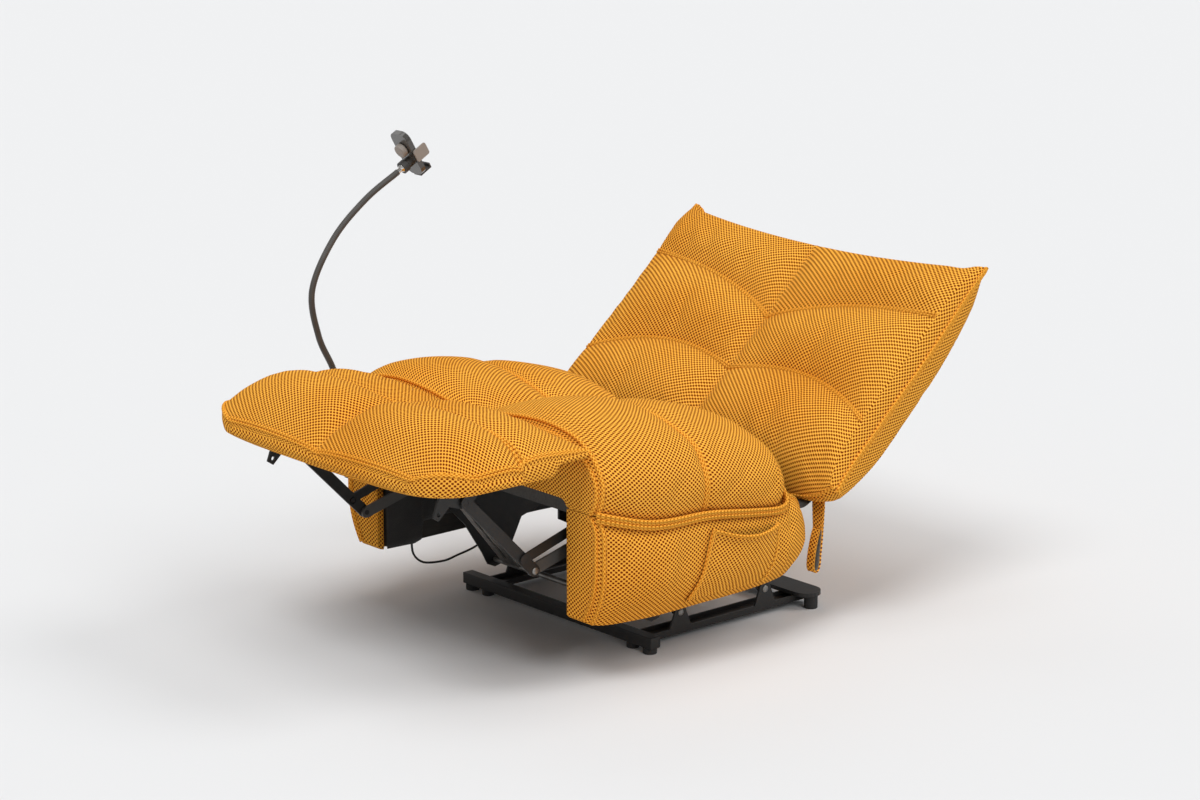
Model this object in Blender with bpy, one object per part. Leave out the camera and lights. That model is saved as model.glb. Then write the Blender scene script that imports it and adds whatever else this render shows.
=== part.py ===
"""Armless power recliner, reclined and with its footrest out, as separate pieces.

Metres, +Z up. The front is towards -Y and the sitter's left is +X. Points in the side
view are (y, z) pairs on one drawing, whose y runs from a datum. place() moves every
piece by MID_Y, so the origin lies on the floor under the middle of the chair.
"""
import math

import bmesh
import bpy
from mathutils import Matrix, Vector
from mathutils.geometry import delaunay_2d_cdt

for old in list(bpy.data.objects):
    bpy.data.objects.remove(old, do_unlink=True)

MID_Y = 0.0207           # drawing datum to the middle of the chair's length
GAP = 0.0003             # air between two pieces that touch
RUN = 0.0005             # air between two flat parts that slide past each other
PIN_PLAY = 0.0003        # radial air round a pivot pin
SIDES = {"left": 1, "right": -1}

# Base
TUBE_Y = -0.065          # front cross tube, middle
TUBE_DEPTH = 0.024
TUBE_HEIGHT = 0.022
GLIDE_RADIUS = 0.0135
GLIDE_HEIGHT = 0.012
GLIDE_INSET = 0.016
PAD_RADIUS = 0.012
PAD_INSET = 0.064
REAR_PLATE_Y = 0.355
REAR_PLATE_WIDTH = 0.058
REAR_PLATE_THICK = 0.008
RAIL_IN = 0.200
RAIL_FLOOR = 0.0135
RAIL_WALL = 0.0035
RAIL_HEIGHT = 0.012
RAIL_END_Y = 0.380
EAR_RADIUS = 0.015

# Side mechanism, in layers counted outward from the middle plane
PLATE_IN = 0.2290
PLATE_THICK = 0.004
LINK_THICK = 0.005
PIN_RADIUS = 0.005
LINK_HALF_WIDTH = 0.011
PLATE_OUT = PLATE_IN + PLATE_THICK
LIFT_IN = PLATE_OUT + RUN
LIFT_OUT = LIFT_IN + LINK_THICK
EAR_IN = LIFT_OUT + RUN
EAR_OUT = EAR_IN + PLATE_THICK
GLIDE_CLEAR = 0.0055     # from the base rails' ears out to the floor glides
TUBE_HALF = EAR_OUT + GLIDE_CLEAR + GLIDE_RADIUS + GLIDE_INSET
REAR_PLATE_HALF = TUBE_HALF - 0.001
MAIN_IN = EAR_OUT + 2 * RUN
MAIN_OUT = MAIN_IN + LINK_THICK
UPPER_IN = MAIN_OUT + RUN
UPPER_OUT = UPPER_IN + LINK_THICK
GUIDE_IN = UPPER_OUT + RUN
GUIDE_OUT = GUIDE_IN + PLATE_THICK

# Lift links: two leaning pairs carry the seat over the base
LIFT_LENGTH = 0.160
LIFT_LEAN = math.radians(40)
LIFT_BASE_Z = 0.055
FRONT_LIFT_Y = 0.030
REAR_LIFT_Y = 0.250

# Footrest linkage pivots in the side view
MAIN_PIVOT = (-0.125, 0.270)
KNEE = (-0.337, 0.214)
FOOT_PIVOT = (-0.495, 0.372)
GUIDE_PIVOT = (-0.153, 0.306)
GUIDE_REACH = 0.040      # from the knee up the upper link to the guide's open pivot
GUIDE_SLOT_PLAY = 0.0022

# Back hinge and rest angle
BACK_HINGE = (0.275, 0.225)
BACK_ANGLE = math.radians(43.5)
HINGE_LOBE = 0.012
HINGE_S = -0.009         # hinge along the back from the cushion's lower seam
HINGE_N = -0.0315        # and behind that seam

# Seat box
LINING_IN = 0.2795
LINING_THICK = 0.0015
BOARD_THICK = 0.018
BOARD_IN = LINING_IN + LINING_THICK + GAP
BOARD_OUT = BOARD_IN + BOARD_THICK
PAD_IN = BOARD_OUT + GAP
SEAT_BED_Z = 0.3430      # top of the two seat rails
RAIL_DEPTH = 0.018
FRONT_RAIL_Y = -0.253
FRONT_RAIL_HEIGHT = 0.033
REAR_RAIL_Y = 0.160
REAR_RAIL_HEIGHT = 0.043
BODY_FRONT_Y = -0.285
FACE_DEPTH = 0.0227      # foam in front of the side boards
SEAT_REAR_Y = 0.172
WEBBING_THICK = 0.002
WEBBING_DROP = 0.012

# Seat lines in the side view, as (y, z) points
CREST_LINE = ((-0.285, 0.474), (-0.25, 0.486), (-0.19, 0.490), (-0.12, 0.481),
              (-0.04, 0.462), (0.04, 0.442), (0.11, 0.420), (0.172, 0.393))
CHANNEL_LINE = ((-0.285, 0.454), (-0.20, 0.440), (-0.11, 0.427), (-0.075, 0.423),
                (0.0, 0.416), (0.08, 0.398), (0.172, 0.364))
WELT_LINE = ((-0.285, 0.328), (-0.18, 0.301), (-0.045, 0.293), (0.07, 0.276),
             (0.15, 0.264), (0.172, 0.268))
SIDE_LINE = ((-0.285, 0.374), (-0.24, 0.388), (-0.15, 0.401), (-0.04, 0.399),
             (0.08, 0.397), (0.172, 0.384), (0.215, 0.372), (0.262, 0.340))
CREST_X = 0.222
SEAT_SEAM_Y = -0.045
SEAT_SEAM_DEPTH = 0.009
WELT_TUCK = 0.018        # how far the welt line is drawn in
BODY_STATIONS = (-0.235, -0.200, -0.160, -0.120, -0.085, -0.063, SEAT_SEAM_Y, -0.027, -0.005,
                 0.030, 0.065, 0.100, 0.130, 0.152, 0.164, SEAT_REAR_Y)

# Side pad behind the seat and along the floor, as (y, z) points
PAD_BOTTOM_LINE = ((-0.285, 0.1185), (-0.24, 0.1150), (0.10, 0.1145), (0.20, 0.1160),
                   (0.235, 0.1270), (0.255, 0.1480), (0.262, 0.1720))
PAD_REAR_TOP_LINE = ((0.176, 0.2830), (0.20, 0.2770), (0.222, 0.2620), (0.240, 0.2400),
                     (0.255, 0.2120), (0.262, 0.1860))
PAD_REAR_Y = 0.262
PAD_FACET = 0.0008       # the pad's flat facets lie this far inside its smooth line

# Footrest
FOOT_REAR_Y = -0.2935
FOOT_FRONT_Y = -0.635
FOOT_HALF = 0.352
FOOT_CORNER = 0.095
FOOT_SEAM_Y = -0.443
FOOT_REAR_Z = 0.440
FOOT_PUFF = 0.034
FOOT_TUFT_Z = 0.496
FOOT_BOARD_THICK = 0.012
FOOT_BOARD_HALF = 0.262
FOOT_BOARD_FRONT_Y = -0.585
FOOT_BOARD_REAR_Y = -0.355
FOOT_BOARD_Z = 0.4000

# Back cushion, along (s) and across (n) its seam plane
BACK_HALF = 0.410
BACK_LENGTH = 0.552
BACK_DIP = 0.028
BACK_PUFF = 0.027
BACK_SIDE_ROUND = 0.007
BACK_SEAM_LINE = ((0.0, 0.0), (0.020, 0.020), (0.045, 0.035), (0.090, 0.046), (0.200, 0.045),
                  (0.340, 0.038), (0.500, 0.036), (0.552, 0.035))
BACK_REAR_LINE = ((0.0, -0.013), (0.020, -0.026), (0.068, -0.046), (0.142, -0.064),
                  (0.230, -0.069), (0.340, -0.070), (0.440, -0.059), (0.552, -0.034))
BACK_EAR_PINCH = 0.016
BACK_BOARD_HALF = PLATE_OUT
BACK_BOARD_THICK = 0.018
BACK_BOARD_N = -0.021
BACK_BOARD_START = 0.020
BACK_BOARD_END = 0.440
BRACKET_REACH = 0.100

# Drive
DRIVE_ANGLE = math.radians(129.3)   # up and forward, from +Y
DRIVE_LENGTH = 0.280
DRIVE_X = -0.170
DRIVE_HALF_WIDTH = 0.025
DRIVE_DEPTH = 0.012
CROSS_ROD = (-0.035, 0.065)
CROSS_ROD_RADIUS = 0.006
RAIL_FOOT = CROSS_ROD
TORQUE_RADIUS = 0.011
CRANK_REACH = 0.070
CRANK_REST = math.radians(183.4)
BLOCK_REST = 0.2567
MOTOR_RADIUS = 0.023
MOTOR_LENGTH = 0.095
SCREW_RADIUS = 0.0045

# Flexible neck and phone holder on the sitter's right
NECK_RADIUS = 0.0065
NECK_ROUTE = ((-0.4035, -0.262, 0.300), (-0.4035, -0.262, 0.324), (-0.4035, -0.262, 0.348),
              (-0.4035, -0.266, 0.392), (-0.4035, -0.294, 0.463),
              (-0.4030, -0.326, 0.530), (-0.4000, -0.341, 0.622), (-0.3950, -0.292, 0.716),
              (-0.3900, -0.218, 0.784), (-0.3850, -0.146, 0.8270))
NECK_STUB = 0.004
HOLDER_TILT = math.radians(30)
BALL_RADIUS = 0.009
HOLDER_HALF = 0.024

# Thin lead from the control panel to the drive, on the sitter's right
LEAD_RADIUS = 0.0022
LEAD_ROUTE = ((-0.2903, -0.194, 0.1212), (-0.2903, -0.194, 0.106), (-0.2900, -0.191, 0.092),
              (-0.2900, -0.180, 0.078), (-0.2900, -0.159, 0.067), (-0.2900, -0.114, 0.062),
              (-0.2900, -0.080, 0.067), (-0.2900, -0.040, 0.074), (-0.2902, -0.012, 0.086),
              (-0.2903, -0.004, 0.102), (-0.2903, -0.003, 0.1212))

FINISHES = {
    "mesh fabric": ((0.82, 0.42, 0.04), 0.85, 0.0),
    "lining": ((0.030, 0.029, 0.028), 0.9, 0.0),
    "black steel": ((0.035, 0.033, 0.031), 0.45, 0.8),
    "zinc": ((0.36, 0.35, 0.33), 0.38, 0.9),
    "chrome": ((0.72, 0.71, 0.69), 0.12, 1.0),
    "plywood": ((0.52, 0.38, 0.22), 0.7, 0.0),
    "webbing": ((0.10, 0.09, 0.08), 0.85, 0.0),
    "dark plastic": ((0.055, 0.052, 0.048), 0.5, 0.0),
    "smoke plastic": ((0.11, 0.10, 0.09), 0.3, 0.0),
    "taupe plastic": ((0.30, 0.26, 0.23), 0.5, 0.0),
    "rubber": ((0.02, 0.02, 0.02), 0.8, 0.0),
    "ribbed steel": ((0.075, 0.070, 0.064), 0.5, 0.4),
}


def finish(obj, kind):
    """Give a piece its own material in one of the chair's finishes."""
    colour, roughness, metallic = FINISHES[kind]
    material = bpy.data.materials.new(obj.name + "_finish")
    material.use_nodes = True
    shader = material.node_tree.nodes["Principled BSDF"]
    shader.inputs["Base Color"].default_value = (*colour, 1)
    shader.inputs["Roughness"].default_value = roughness
    shader.inputs["Metallic"].default_value = metallic
    obj.data.materials.append(material)


def place(name, bm, kind, pivot=(0, 0, 0), frame=None, round_piece=False):
    """Turn a bmesh into a named piece whose origin is its pivot, or an empty's origin."""
    bmesh.ops.recalc_face_normals(bm, faces=bm.faces)
    mesh = bpy.data.meshes.new(name)
    if frame is None:
        bmesh.ops.translate(bm, verts=bm.verts, vec=-Vector(pivot))
    bm.to_mesh(mesh)
    bm.free()
    obj = bpy.data.objects.new(name, mesh)
    bpy.context.collection.objects.link(obj)
    if frame is None:
        obj.location = Vector(pivot) - Vector((0, MID_Y, 0))
    else:
        obj.parent = frame
    if round_piece:
        mesh.shade_smooth()
        mesh.set_sharp_from_angle(angle=math.radians(35))
    finish(obj, kind)
    return obj


def boolean(obj, tool, operation="DIFFERENCE"):
    """Cut a piece with a hidden tool, or weld the tool to it."""
    modifier = obj.modifiers.new(operation.title() + " " + tool.name, "BOOLEAN")
    modifier.operation = operation
    modifier.solver = "EXACT"
    modifier.object = tool
    tool.hide_render = True
    tool.display_type = "WIRE"


def eased(line, at):
    """Read a smooth line through (position, value) points at one position."""
    if at <= line[0][0]:
        return line[0][1]
    if at >= line[-1][0]:
        return line[-1][1]
    index = max(i for i in range(len(line) - 1) if line[i][0] <= at)

    def slope(i):
        low = max(i - 1, 0)
        high = min(i + 1, len(line) - 1)
        return (line[high][1] - line[low][1]) / (line[high][0] - line[low][0])

    width = line[index + 1][0] - line[index][0]
    t = (at - line[index][0]) / width
    start, end = line[index][1], line[index + 1][1]
    return ((2 * t ** 3 - 3 * t ** 2 + 1) * start
            + (t ** 3 - 2 * t ** 2 + t) * width * slope(index)
            + (3 * t ** 2 - 2 * t ** 3) * end
            + (t ** 3 - t ** 2) * width * slope(index + 1))


def route(points, count):
    """Read evenly spaced points from a smooth curve through a few route points."""
    knots = [Vector(p) for p in points]
    knots = [2 * knots[0] - knots[1]] + knots + [2 * knots[-1] - knots[-2]]
    fine = []
    for a, b, c, d in zip(knots, knots[1:], knots[2:], knots[3:]):
        for step in range(20):
            t = step / 20
            fine.append(0.5 * ((2 * b) + (c - a) * t + (2 * a - 5 * b + 4 * c - d) * t ** 2
                               + (3 * b - a - 3 * c + d) * t ** 3))
    fine.append(knots[-2])
    lengths = [0.0]
    for a, b in zip(fine, fine[1:]):
        lengths.append(lengths[-1] + (b - a).length)
    result = []
    for step in range(count):
        wanted = lengths[-1] * step / (count - 1)
        index = max(i for i in range(len(lengths) - 1) if lengths[i] <= wanted + 1e-9)
        share = (wanted - lengths[index]) / (lengths[index + 1] - lengths[index])
        result.append(fine[index].lerp(fine[index + 1], min(share, 1)))
    return result


def circle(y, z, radius, count=16):
    """Points of a circle in the side view."""
    return [(y + radius * math.cos(2 * math.pi * i / count),
             z + radius * math.sin(2 * math.pi * i / count)) for i in range(count)]


def bar(start, end, radius, steps=6):
    """Outline of a flat bar with round ends between two pivots in the side view."""
    angle = math.atan2(end[1] - start[1], end[0] - start[0])
    points = []
    for centre, turn in ((end, -math.pi / 2), (start, math.pi / 2)):
        for i in range(steps + 1):
            a = angle + turn + math.pi * i / steps
            points.append((centre[0] + radius * math.cos(a), centre[1] + radius * math.sin(a)))
    return points


def add_wall(bm, ring, other):
    """Join two rings of the same number of points."""
    for i in range(len(ring)):
        j = (i + 1) % len(ring)
        bm.faces.new((ring[i], ring[j], other[j], other[i]))


def slab(outline, x_low, x_high, holes=(), pins=()):
    """A plate in the side view, with round holes and pins that are part of it.

    A hole is (y, z, radius). A pin is (y, z, radius, x of its free end).
    """
    bm = bmesh.new()

    def ring(points, x):
        return [bm.verts.new((x, y, z)) for y, z in points]

    loops = [outline] + [circle(y, z, r) for y, z, r in holes]
    low = [ring(points, x_low) for points in loops]
    high = [ring(points, x_high) for points in loops]
    for a, b in zip(low, high):
        add_wall(bm, a, b)
    for rings, x in ((low, x_low), (high, x_high)):
        rings = list(rings)
        empty = [(y, z, radius) for y, z, radius in holes]
        for y, z, radius, x_end in pins:
            if (x_end > x_high) == (x == x_high):
                root = ring(circle(y, z, radius), x)
                tip = ring(circle(y, z, radius), x_end)
                add_wall(bm, root, tip)
                bm.faces.new(tip)
                rings.append(root)
                empty.append((y, z, radius))
        fill_cap(bm, rings, empty)
    return bm


def fill_cap(bm, rings, empty):
    """Close a plate's face between its outline and the rings of holes and pins."""
    verts = [vert for ring in rings for vert in ring]
    edges = []
    for ring in rings:
        first = verts.index(ring[0])
        count = len(ring)
        edges += [(first + i, first + (i + 1) % count) for i in range(count)]
    flat = [Vector((vert.co.y, vert.co.z)) for vert in verts]
    result = delaunay_2d_cdt(flat, edges, [], 1, 1e-7)
    source = [verts[group[0]] for group in result[3]]
    for triangle in result[2]:
        corners = [source[i] for i in triangle]
        y = sum(vert.co.y for vert in corners) / 3
        z = sum(vert.co.z for vert in corners) / 3
        if all(math.hypot(y - a, z - b) > radius for a, b, radius in empty):
            bm.faces.new(corners)


def mirror_slab(side, outline, x_low, x_high, holes=(), pins=()):
    """The same plate on the sitter's left or right."""
    bm = slab(outline, x_low, x_high, holes, pins)
    if side < 0:
        bmesh.ops.scale(bm, vec=(-1, 1, 1), verts=bm.verts)
    return bm


def box(low, high, bevel=0.0):
    """A block between two corners, with its edges eased."""
    bm = bmesh.new()
    bmesh.ops.create_cube(bm, size=1)
    size = Vector(high) - Vector(low)
    bmesh.ops.scale(bm, vec=size, verts=bm.verts)
    bmesh.ops.translate(bm, vec=(Vector(high) + Vector(low)) / 2, verts=bm.verts)
    if bevel:
        bmesh.ops.bevel(bm, geom=bm.edges, offset=bevel, segments=2, affect="EDGES",
                        profile=0.7)
    return bm


def turned(profile, start, axis, segments=24):
    """A turned piece: (distance along the axis, radius) points round an axis."""
    bm = bmesh.new()
    axis = Vector(axis).normalized()
    across = axis.orthogonal().normalized()
    other = axis.cross(across)
    rings = []
    for along, radius in profile:
        centre = Vector(start) + axis * along
        rings.append([bm.verts.new(centre + radius * (across * math.cos(a) + other * math.sin(a)))
                      for a in (2 * math.pi * i / segments for i in range(segments))])
    for near, far in zip(rings, rings[1:]):
        add_wall(bm, near, far)
    bm.faces.new(rings[0])
    bm.faces.new(rings[-1])
    return bm


def rod(start, axis, length, radius, segments=16, ease=0.001):
    """A round rod with eased ends."""
    profile = ((0, radius - ease), (ease, radius), (length - ease, radius),
               (length, radius - ease))
    return turned(profile, start, axis, segments)


def tube_ring(start, axis, length, inner, outer, segments=24):
    """A plain ring with a bore, along an axis."""
    bm = bmesh.new()
    axis = Vector(axis).normalized()
    across = axis.orthogonal().normalized()
    other = axis.cross(across)
    rings = []
    for along, radius in ((0, inner), (0, outer), (length, outer), (length, inner)):
        centre = Vector(start) + axis * along
        rings.append([bm.verts.new(centre + radius * (across * math.cos(a) + other * math.sin(a)))
                      for a in (2 * math.pi * i / segments for i in range(segments))])
    for near, far in zip(rings, rings[1:] + rings[:1]):
        add_wall(bm, near, far)
    return bm


def loft(sections):
    """A closed body through sections that have the same number of points."""
    bm = bmesh.new()
    rings = [[bm.verts.new(point) for point in section] for section in sections]
    for near, far in zip(rings, rings[1:]):
        add_wall(bm, near, far)
    bm.faces.new(rings[0])
    bm.faces.new(rings[-1])
    return bm


def pillow(face, back, across, along, middle=None):
    """A closed cushion between two surfaces, read at the same grid of (u, v).

    middle gives the ring round its boxed sides, halfway between the two.
    """
    bm = bmesh.new()
    fronts = [[bm.verts.new(face(u, v)) for u in across] for v in along]
    backs = [[bm.verts.new(back(u, v)) for u in across] for v in along]
    for grid in (fronts, backs):
        for low, high in zip(grid, grid[1:]):
            for i in range(len(low) - 1):
                bm.faces.new((low[i], low[i + 1], high[i + 1], high[i]))

    def rim(grid):
        return (grid[0] + [row[-1] for row in grid[1:-1]] + grid[-1][::-1]
                + [row[0] for row in grid[-2:0:-1]])

    if middle is None:
        add_wall(bm, rim(fronts), rim(backs))
        return bm
    places = rim([[(u, v) for u in across] for v in along])
    ring = [bm.verts.new(middle(u, v)) for u, v in places]
    add_wall(bm, rim(fronts), ring)
    add_wall(bm, ring, rim(backs))
    return bm


def cord(name, points, radius, resolution, kind):
    """A round cord or neck along points, with closed ends."""
    curve = bpy.data.curves.new(name, "CURVE")
    curve.dimensions = "3D"
    curve.bevel_depth = radius
    curve.bevel_resolution = resolution
    curve.use_fill_caps = True
    spline = curve.splines.new("POLY")
    spline.points.add(len(points) - 1)
    for knot, point in zip(spline.points, points):
        knot.co = (*point, 1)
    obj = bpy.data.objects.new(name, curve)
    bpy.context.collection.objects.link(obj)
    obj.location.y = -MID_Y
    finish(obj, kind)
    return obj


# Base

def build_front_tube():
    """Front cross tube with its two welded support pads."""
    low = GLIDE_HEIGHT
    obj = place("front_cross_tube",
                box((-TUBE_HALF, TUBE_Y - TUBE_DEPTH / 2, low),
                    (TUBE_HALF, TUBE_Y + TUBE_DEPTH / 2, low + TUBE_HEIGHT), 0.002),
                "black steel")
    for name, side in SIDES.items():
        pad = place("support_pad_tool_" + name,
                    rod((side * (TUBE_HALF - PAD_INSET), TUBE_Y, 0), (0, 0, 1), low + TUBE_HEIGHT / 2, PAD_RADIUS),
                    "rubber")
        boolean(obj, pad, "UNION")


def build_glides():
    """Round floor glides under the ends of the cross tube and the rear plate."""
    tops = {"front": (TUBE_Y, GLIDE_HEIGHT - GAP), "rear": (REAR_PLATE_Y, rail_top())}
    for end, (y, top) in tops.items():
        for name, side in SIDES.items():
            start = (side * (TUBE_HALF - GLIDE_INSET), y, 0)
            place(end + "_glide_" + name, rod(start, (0, 0, 1), top, GLIDE_RADIUS, 20),
                  "rubber", round_piece=True)


def rail_top():
    return RAIL_FLOOR + RAIL_HEIGHT


def build_rear_plate():
    """Flat rear cross member with rounded ends, lying on the base rails."""
    low = rail_top() + GAP
    half_width = REAR_PLATE_WIDTH / 2
    bm = bmesh.new()
    reach = REAR_PLATE_HALF - half_width
    points = bar((-reach, REAR_PLATE_Y), (reach, REAR_PLATE_Y), half_width, 10)
    rings = [[bm.verts.new((x, y, z)) for x, y in points]
             for z in (low, low + REAR_PLATE_THICK)]
    add_wall(bm, *rings)
    bm.faces.new(rings[0])
    bm.faces.new(rings[1])
    place("rear_cross_plate", bm, "black steel")


def lift_foot(y):
    return (y, LIFT_BASE_Z)


def lift_head(y):
    """Upper pivot of a lift link at rest."""
    return (y - LIFT_LENGTH * math.sin(LIFT_LEAN), LIFT_BASE_Z + LIFT_LENGTH * math.cos(LIFT_LEAN))


def build_base_rails():
    """Channel rails along the floor, whose outer walls rise into pivot ears."""
    start = TUBE_Y + TUBE_DEPTH / 2 + GAP
    top = rail_top()
    for name, side in SIDES.items():
        outline = [(start, RAIL_FLOOR), (RAIL_END_Y, RAIL_FLOOR), (RAIL_END_Y, top)]
        for y in (REAR_LIFT_Y, FRONT_LIFT_Y):
            outline.append((y + EAR_RADIUS + 0.012, top))
            for i in range(9):
                a = math.pi * i / 8
                outline.append((y + EAR_RADIUS * math.cos(a),
                                LIFT_BASE_Z + EAR_RADIUS * math.sin(a)))
            outline.append((y - EAR_RADIUS - 0.012, top))
        outline.append((start, top))
        holes = [(y, LIFT_BASE_Z, PIN_RADIUS + PIN_PLAY) for y in (FRONT_LIFT_Y, REAR_LIFT_Y)]
        rail = place("base_rail_" + name, mirror_slab(side, outline, EAR_IN, EAR_OUT, holes),
                     "black steel")
        low = RAIL_FLOOR + 0.0004
        floor = RAIL_FLOOR + RAIL_WALL
        section = [(RAIL_IN, low), (EAR_IN + 0.001, low), (EAR_IN + 0.001, floor),
                   (RAIL_IN + RAIL_WALL, floor), (RAIL_IN + RAIL_WALL, top - 0.0004),
                   (RAIL_IN, top - 0.0004)]
        channel = loft([[(side * x, y, z) for x, z in section]
                        for y in (start + 0.0006, RAIL_END_Y - 0.0006)])
        boolean(rail, place("rail_channel_tool_" + name, channel, "black steel"), "UNION")


# Side mechanism

def build_lift_links():
    """Leaning links between the base ears and the seat plates."""
    for end, y in (("front", FRONT_LIFT_Y), ("rear", REAR_LIFT_Y)):
        foot, head = lift_foot(y), lift_head(y)
        for name, side in SIDES.items():
            pins = [(*foot, PIN_RADIUS, EAR_OUT + 0.0006),
                    (*head, PIN_RADIUS, PLATE_IN - 0.0006)]
            bm = mirror_slab(side, bar(foot, head, LINK_HALF_WIDTH), LIFT_IN, LIFT_OUT, (), pins)
            place(end + "_lift_link_" + name, bm, "black steel", (0, *foot))


def build_side_plates():
    """Pressed steel plates that carry the seat, the footrest links and the back."""
    hinge_y, hinge_z = BACK_HINGE
    outline = [(-0.262, SEAT_BED_Z - FRONT_RAIL_HEIGHT - GAP), (-0.262, 0.292), (-0.205, 0.262),
               (-0.165, 0.205), (-0.110, 0.150), (-0.066, 0.082), (-0.052, 0.056),
               (-0.035, 0.048), (-0.016, 0.052), (0.004, 0.080), (0.034, 0.138),
               (0.100, 0.157), (0.172, 0.158), (0.232, 0.196)]
    for i in range(7):
        a = math.radians(-70 + 25 * i)
        outline.append((hinge_y + HINGE_LOBE * math.cos(a), hinge_z + HINGE_LOBE * math.sin(a)))
    outline += [(hinge_y - 0.037, hinge_z + 0.0085), (0.200, 0.262),
                (0.188, SEAT_BED_Z - REAR_RAIL_HEIGHT - GAP),
                (REAR_RAIL_Y - RAIL_DEPTH, SEAT_BED_Z - REAR_RAIL_HEIGHT - GAP),
                (0.060, 0.292), (-0.040, 0.300), (-0.100, 0.322), (-0.180, 0.326),
                (-0.236, SEAT_BED_Z - FRONT_RAIL_HEIGHT - GAP)]
    play = PIN_RADIUS + PIN_PLAY
    holes = [(*lift_head(FRONT_LIFT_Y), play), (*lift_head(REAR_LIFT_Y), play),
             (*MAIN_PIVOT, play), (*GUIDE_PIVOT, play), (*BACK_HINGE, play)]
    for name, side in SIDES.items():
        bm = mirror_slab(side, outline, PLATE_IN, PLATE_OUT, holes)
        place("seat_plate_" + name, bm, "black steel", (0, *lift_head(FRONT_LIFT_Y)))


def build_seat_rails():
    """Front and rear rails across the seat plates, and the webbing bed between them."""
    half = LINING_IN - GAP
    for name, y, height in (("front", FRONT_RAIL_Y, FRONT_RAIL_HEIGHT),
                            ("rear", REAR_RAIL_Y, REAR_RAIL_HEIGHT)):
        low = (-half, y - RAIL_DEPTH / 2, SEAT_BED_Z - height)
        high = (half, y + RAIL_DEPTH / 2, SEAT_BED_Z)
        place(name + "_seat_rail", box(low, high, 0.001), "plywood")
    low_z = SEAT_BED_Z - WEBBING_DROP
    low = (-PLATE_IN + 0.01, FRONT_RAIL_Y + RAIL_DEPTH / 2 + GAP, low_z)
    high = (PLATE_IN - 0.01, REAR_RAIL_Y - RAIL_DEPTH / 2 - GAP, low_z + WEBBING_THICK)
    place("seat_webbing", box(low, high), "webbing")


def build_cross_rod():
    """Rod that ties the lower ends of the two seat plates."""
    length = 2 * (PLATE_IN - GAP)
    place("cross_rod", rod((-length / 2, *CROSS_ROD), (1, 0, 0), length, CROSS_ROD_RADIUS),
          "zinc", round_piece=True)


# Footrest linkage

def guide_end():
    """Open pivot of the guide link on the upper link."""
    run = Vector(FOOT_PIVOT) - Vector(KNEE)
    return tuple(Vector(KNEE) + run.normalized() * GUIDE_REACH)


def build_footrest_links():
    """Main, upper and guide links on each side, and the brackets under the footrest."""
    play = PIN_RADIUS + PIN_PLAY
    for name, side in SIDES.items():
        pins = [(*MAIN_PIVOT, PIN_RADIUS, PLATE_IN - 0.0006)]
        holes = [(*KNEE, play)]
        bm = mirror_slab(side, bar(MAIN_PIVOT, KNEE, LINK_HALF_WIDTH), MAIN_IN, MAIN_OUT,
                         holes, pins)
        place("main_link_" + name, bm, "black steel", (0, *MAIN_PIVOT))

        pins = [(*KNEE, PIN_RADIUS, MAIN_IN - 0.0004)]
        holes = [(*guide_end(), PIN_RADIUS + GUIDE_SLOT_PLAY), (*FOOT_PIVOT, play)]
        bm = mirror_slab(side, bar(KNEE, FOOT_PIVOT, LINK_HALF_WIDTH), UPPER_IN, UPPER_OUT,
                         holes, pins)
        place("upper_link_" + name, bm, "black steel", (0, *KNEE))

        pins = [(*GUIDE_PIVOT, PIN_RADIUS, PLATE_IN - 0.0006),
                (*guide_end(), PIN_RADIUS, UPPER_IN - 0.0002)]
        bm = mirror_slab(side, bar(GUIDE_PIVOT, guide_end(), LINK_HALF_WIDTH - 0.002),
                         GUIDE_IN, GUIDE_OUT, (), pins)
        place("guide_link_" + name, bm, "black steel", (0, *GUIDE_PIVOT))

        y, z = FOOT_PIVOT
        top = FOOT_BOARD_Z - GAP
        outline = [(y - 0.052, top), (y - 0.060, top - 0.018), (y - 0.070, top - 0.044),
                   (y - 0.058, top - 0.052), (y - 0.034, top - 0.030),
                   (y - 0.014, z - 0.009), (y, z - 0.013), (y + 0.014, z - 0.009),
                   (y + 0.040, top - 0.012), (y + 0.070, top)]
        holes = [(y - 0.058, top - 0.040, 0.0042)]
        pins = [(y, z, PIN_RADIUS, UPPER_OUT - 0.0002)]
        bm = mirror_slab(side, outline, MAIN_IN, MAIN_OUT, holes, pins)
        place("footrest_bracket_" + name, bm, "zinc", (0, *FOOT_PIVOT))


# Drive

def on_drive(along, lift=0.0):
    """A point in the side view along the drive rail, and up off its face."""
    c, s = math.cos(DRIVE_ANGLE), math.sin(DRIVE_ANGLE)
    return (RAIL_FOOT[0] + along * c + lift * s, RAIL_FOOT[1] + along * s - lift * c)


def drive_box(start, end, low, high, half_width, name, kind, bevel=0.0):
    """A block that lies along the drive rail."""
    bm = box((DRIVE_X - half_width, start, low), (DRIVE_X + half_width, end, high), bevel)
    c, s = math.cos(DRIVE_ANGLE), math.sin(DRIVE_ANGLE)
    for vert in bm.verts:
        along, lift = vert.co.y, vert.co.z
        vert.co.y = RAIL_FOOT[0] + along * c + lift * s
        vert.co.z = RAIL_FOOT[1] + along * s - lift * c
    return place(name, bm, kind, (DRIVE_X, *RAIL_FOOT))


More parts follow.
